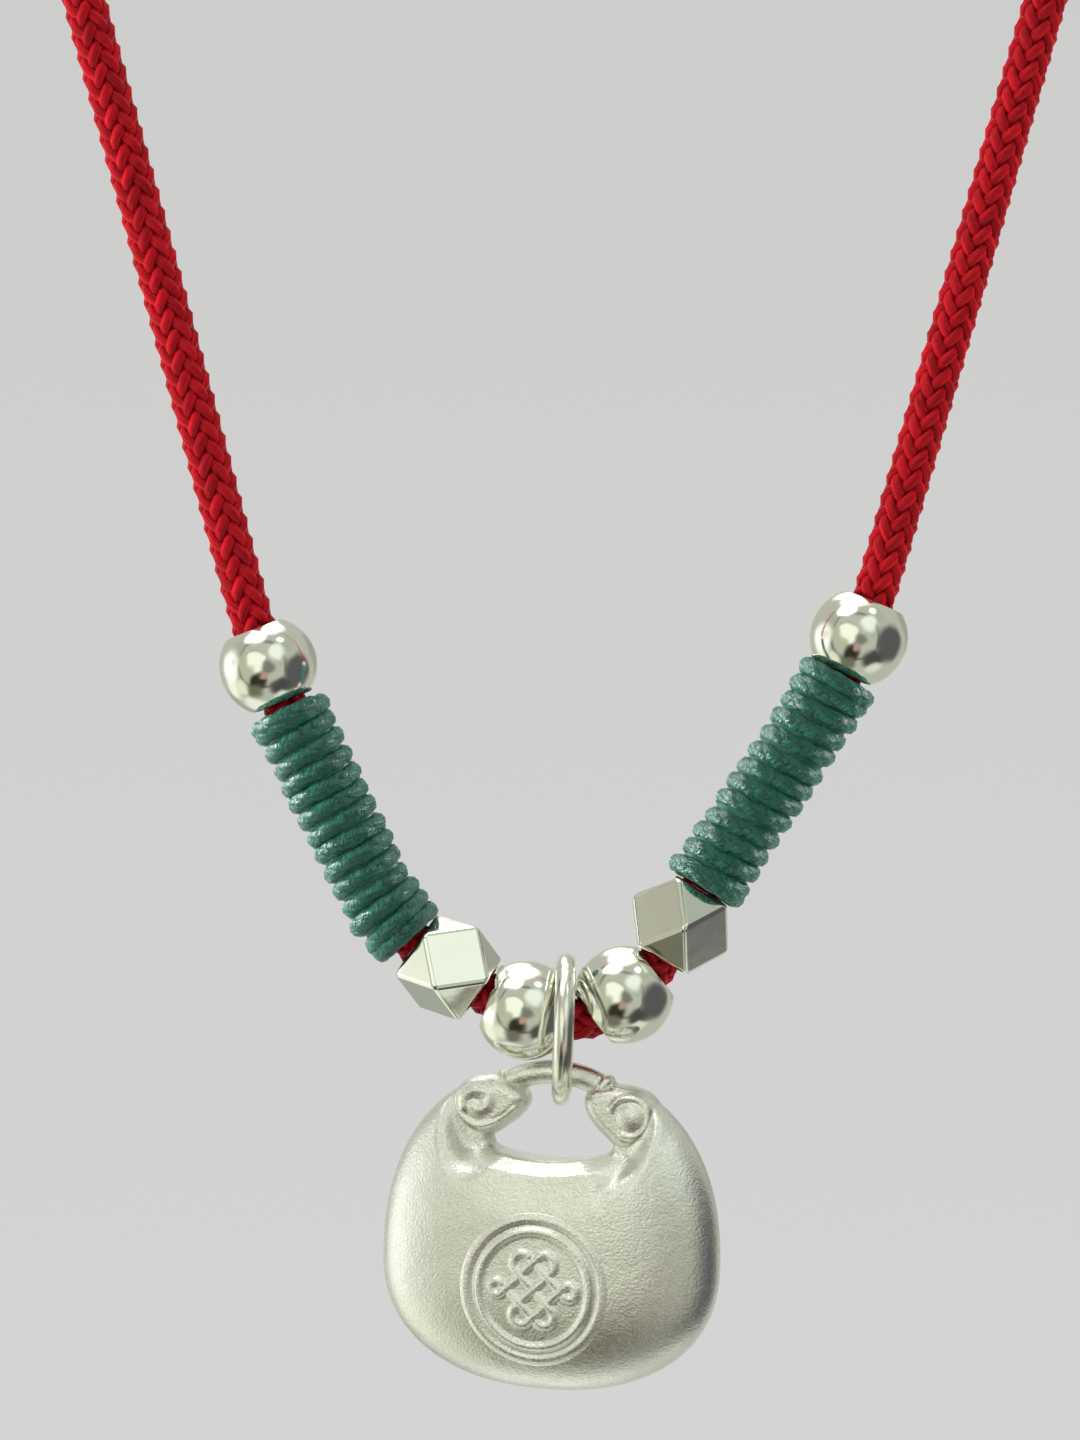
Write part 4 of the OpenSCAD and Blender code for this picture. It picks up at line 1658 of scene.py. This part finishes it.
ROOM_BASE = (0.5, 0.51, 0.45)
ROOM = (
    Patch((0.0, 1.0, -0.1), 32, 8, (0.68, 0.69, 0.66)),
    Patch((-0.39, 0.74, -0.55), 16, 7, (0.38, 0.41, 0.36)),
    Patch((0.6, 0.78, 0.18), 16, 7, (0.36, 0.37, 0.32)),
    Patch((0.55, -0.32, 0.77), 16, 7, (0.42, 0.47, 0.4)),
    Patch((-0.86, -0.13, 0.5), 16, 7, (0.45, 0.45, 0.37)),
    Patch((-0.2, -0.98, 0.06), 60, 2, (0.16, 0.16, 0.13)),
    Patch((-0.2, -0.98, 0.06), 55, 2, (0.52, 0.53, 0.46)),
    Patch((-0.45, -0.87, 0.18), 27, 2, (0.2, 0.2, 0.15)),
    Patch((-0.45, -0.87, 0.18), 24, 4, (1.02, 1.07, 0.92)),
    Patch((-0.68, -0.7, -0.2), 16, 6, (0.52, 0.53, 0.4)),
    Patch((-0.87, -0.48, 0.14), 13, 6, (0.5, 0.5, 0.39)),
    Patch((0.02, -1.0, -0.08), 14, 6, (0.2, 0.21, 0.17)),
    Patch((0.5, -0.83, 0.25), 12, 6, (0.46, 0.49, 0.4)),
    Patch((0.36, -0.76, 0.55), 18, 6, (0.92, 1.0, 0.9)),
    Patch((-0.97, 0.12, 0.0), 23, 9, (1.25, 1.28, 1.2)),
    Patch((-0.99, -0.12, 0.1), 6, 4, (0.87, 0.91, 0.8)),
    Patch((-0.82, 0.3, -0.49), 15, 8, (1.0, 1.03, 0.85)),
    Patch((-0.77, -0.15, -0.62), 14, 7, (0.85, 0.87, 0.68)),
    Patch((-0.22, 0.3, -0.93), 19, 8, (0.9, 0.94, 0.84)),
    Patch((0.93, -0.2, -0.2), 34, 9, (0.1, 0.1, 0.105)),
    Patch((0.45, -0.48, -0.75), 20, 7, (0.07, 0.07, 0.065)),
    Patch((-0.31, -0.74, -0.58), 20, 6, (0.03, 0.03, 0.02)),
    Patch((-0.39, -0.36, -0.85), 15, 6, (0.17, 0.17, 0.12)),
    Patch((0.41, -0.11, -0.9), 12, 6, (0.74, 0.79, 0.67)),
    Patch((-0.12, -0.9, -0.42), 8, 4, (0.5, 0.32, 0.25)),
    Patch((-0.05, 0.22, 0.97), 21, 6, (1.9, 1.9, 1.85)),
    Patch((-0.15, 0.58, 0.8), 14, 5, (1.7, 1.7, 1.65)),
    Patch((0.4, -0.3, 0.87), 6, 2, (2.6, 2.6, 2.5)),
    Patch((-0.39, -0.22, 0.89), 15, 4, (2.2, 2.2, 2.15)),
)


@dataclass
class Studio:
    """The camera, the lights, the pale surroundings and the floor."""

    frame_top: float = -115.4
    frame_height: float = 112.94
    middle_x: float = -1.73
    distance: float = 380.0
    sensor: float = 36.0
    aim: Triple = (0, 0, -190)
    swirls: float = 1.6
    swirl_depth: float = 0.3
    wall_fade: float = 0.16
    wall_low: Color = (0.66, 0.66, 0.66, 1)
    wall_high: Color = (0.61, 0.61, 0.6, 1)
    floor_z: float = -450.0
    floor_r: float = 1000.0
    floor_sides: int = 64
    floor_tints: tuple[Color, Color] = ((0.6, 0.6, 0.6, 1), (0.68, 0.68, 0.67, 1))
    floor_roughness: float = 0.7

    def camera(self) -> None:
        """Places the camera level with the middle of the picture, straight in front."""
        data = bpy.data.cameras.new("camera")
        data.sensor_width = self.sensor
        data.lens = self.sensor * self.distance / self.frame_height
        data.clip_start, data.clip_end = 0.01, 20
        made = link_object("camera", data)
        made.location = Vector((self.middle_x, -self.distance, self.frame_top - self.frame_height / 2)) * MM
        made.rotation_euler = (math.pi / 2, 0, 0)
        bpy.context.scene.camera = made

    def light(
        self, name: str, place: Triple, size: float, power: float, only: Sequence[Object] = ()
    ) -> None:
        """Hangs one soft round light that faces the lock, and that the silver doesn't mirror.

        Args:
            name: The light's name.
            place: Its centre in millimetres.
            size: Its diameter in millimetres.
            power: Its strength in watts.
            only: The pieces that it lights, with its gloss on them. Without any it lights all,
                without gloss.
        """
        data = bpy.data.lights.new(name, "AREA")
        data.shape = "DISK"
        data.size = size * MM
        data.energy = power
        made = link_object(name, data)
        made.location = Vector(place) * MM
        aim = Vector(self.aim) - Vector(place)
        made.rotation_euler = aim.to_track_quat("-Z", "Y").to_euler()
        made.visible_glossy = bool(only)
        if only:
            lit = bpy.data.collections.new(f"{name}_pieces")
            for piece in only:
                lit.objects.link(piece)
            made.light_linking.receiver_collection = lit

    def surroundings(self) -> None:
        """Makes the pale backdrop that the camera sees and the room that the silver mirrors."""
        bpy.context.scene.view_settings.view_transform = "Standard"
        world = bpy.data.worlds.new("pale studio")
        bpy.context.scene.world = world
        world.use_nodes = True
        tree = world.node_tree
        place = wire_node(tree, "ShaderNodeTexCoord").outputs["Generated"]
        room = tree.nodes["Background"]
        tree.links.new(self.room(tree, place), room.inputs["Color"])
        height = wire_node(tree, "ShaderNodeSeparateXYZ", Vector=place)
        fade = map_range(tree, height.outputs["Z"], -self.wall_fade, self.wall_fade)
        wall = blend(tree, fade.outputs[0], self.wall_low, self.wall_high)
        seen = wire_node(tree, "ShaderNodeBackground", Color=wall)
        path = wire_node(tree, "ShaderNodeLightPath").outputs["Is Camera Ray"]
        mix = wire_node(tree, "ShaderNodeMixShader", i0=path, i1=room.outputs[0], i2=seen.outputs[0])
        tree.links.new(mix.outputs[0], tree.nodes["World Output"].inputs["Surface"])

    def room(self, tree: NodeTree, place: NodeSocket) -> NodeSocket:
        """Paints the room that the silver mirrors, patch over patch, with its edges bent into swirls.

        Args:
            tree: The surroundings' tree.
            place: The socket with the direction of sight.

        Returns:
            The socket with the room's colour.
        """
        noise = wire_node(tree, "ShaderNodeTexNoise", Vector=place, Scale=self.swirls, Detail=1.0)
        off = vector_math(tree, "SUBTRACT", i0=noise.outputs[1], i1=(0.5, 0.5, 0.5))
        depth = (self.swirl_depth,) * 3
        bent = vector_math(tree, "MULTIPLY_ADD", i0=off.outputs[0], i1=depth, i2=place)
        way = vector_math(tree, "NORMALIZE", i0=bent.outputs[0]).outputs[0]
        base = wire_node(tree, "ShaderNodeRGB")
        base.outputs[0].default_value = (*ROOM_BASE, 1)
        tint = base.outputs[0]
        for patch in ROOM:
            middle = Vector(patch.direction).normalized()
            near = vector_math(tree, "DOT_PRODUCT", i0=way, i1=middle)
            outer, inner = (math.cos(math.radians(patch.radius + e)) for e in (patch.edge, -patch.edge))
            mask = map_range(tree, near.outputs["Value"], outer, inner)
            mask.interpolation_type = "SMOOTHSTEP"
            tint = blend(tree, mask.outputs[0], tint, (*patch.tint, 1))
        return tint

    def floor(self) -> None:
        """Lays a plain pale disc far below the hanging necklace."""
        r, z = self.floor_r, self.floor_z
        points = [(r * math.cos(t), r * math.sin(t), z) for t in even_angles(self.floor_sides)]
        made = mesh_object("studio_floor", np.array(points), [range(self.floor_sides)], smooth=False)
        material, tree, shader = new_material("pale floor")
        place = wire_node(tree, "ShaderNodeTexCoord")
        noise = wire_node(tree, "ShaderNodeTexNoise", Vector=place.outputs["Object"], Scale=9.0, Detail=3.0)
        tree.links.new(blend(tree, noise.outputs[0], *self.floor_tints), shader.inputs["Base Color"])
        shader.inputs["Roughness"].default_value = self.floor_roughness
        dress(made, material)
        made.visible_glossy = False

    def set_up(self, wraps: Sequence[Object]) -> None:
        """Builds everything round the necklace but the camera.

        Args:
            wraps: The thread wraps, which two lights of their own make shine at the sides.
        """
        self.surroundings()
        self.light("key", (-420, -500, 480), 260, 1.0)
        self.light("top", (120, -60, 700), 240, 1.0)
        self.light("left_side", (-600, -60, -100), 300, 5.6)
        self.light("right_side", (600, -20, -60), 300, 3.4)
        self.light("thread_left", (-500, 330, -60), 200, 4.2, wraps)
        self.light("thread_right", (500, 330, -60), 200, 1.8, wraps)
        self.floor()


# ---------------------------------------------------------------- assembly


def main() -> None:
    """Builds the necklace in order."""
    logging.basicConfig(level=logging.INFO, format="%(message)s")
    studio = Studio()
    studio.camera()
    finishes, sweep, route = Finishes(), LineSweep(), Route()
    spacing = Spacing(route)
    cord = BraidedCord(route)
    braid = cord.build(sweep, finishes.red_cord)
    strung: list[Object] = []
    for side in Side:
        name = side.name.lower()
        strung.append(RoundBead(spacing, f"upper_bead_{name}", spacing.upper[side]).build(finishes.mirror))
        turns = spacing.left_turns if side is Side.LEFT else spacing.right_turns
        start, end = spacing.wrap[side]
        reach = 0.0 if side is Side.LEFT else 0.4
        wrap = ThreadWrap(route, side, start, end, turns, spacing.thread_d, reach=reach, seed=5 + side.value)
        strung.append(wrap.build(sweep, finishes.green_thread))
        strung.append(FacetedBead(f"faceted_bead_{name}").build(finishes.polished))
        strung.append(RoundBead(spacing, f"lower_bead_{name}", spacing.lower[side]).build(finishes.mirror))
    cord.declare(braid)
    pieces = [
        braid,
        *strung,
        NapeSleeve().build(finishes.polished),
        JumpRing(spacing).build(finishes.wire),
        Lock(spacing, Medallion()).build(finishes.satin),
    ]
    studio.set_up([piece for piece in strung if piece.name.startswith("wound_thread")])
    for piece in pieces:
        LOG.info("%s: %d faces", piece.name, len(piece.data.polygons))


if __name__ == "__main__":
    main()
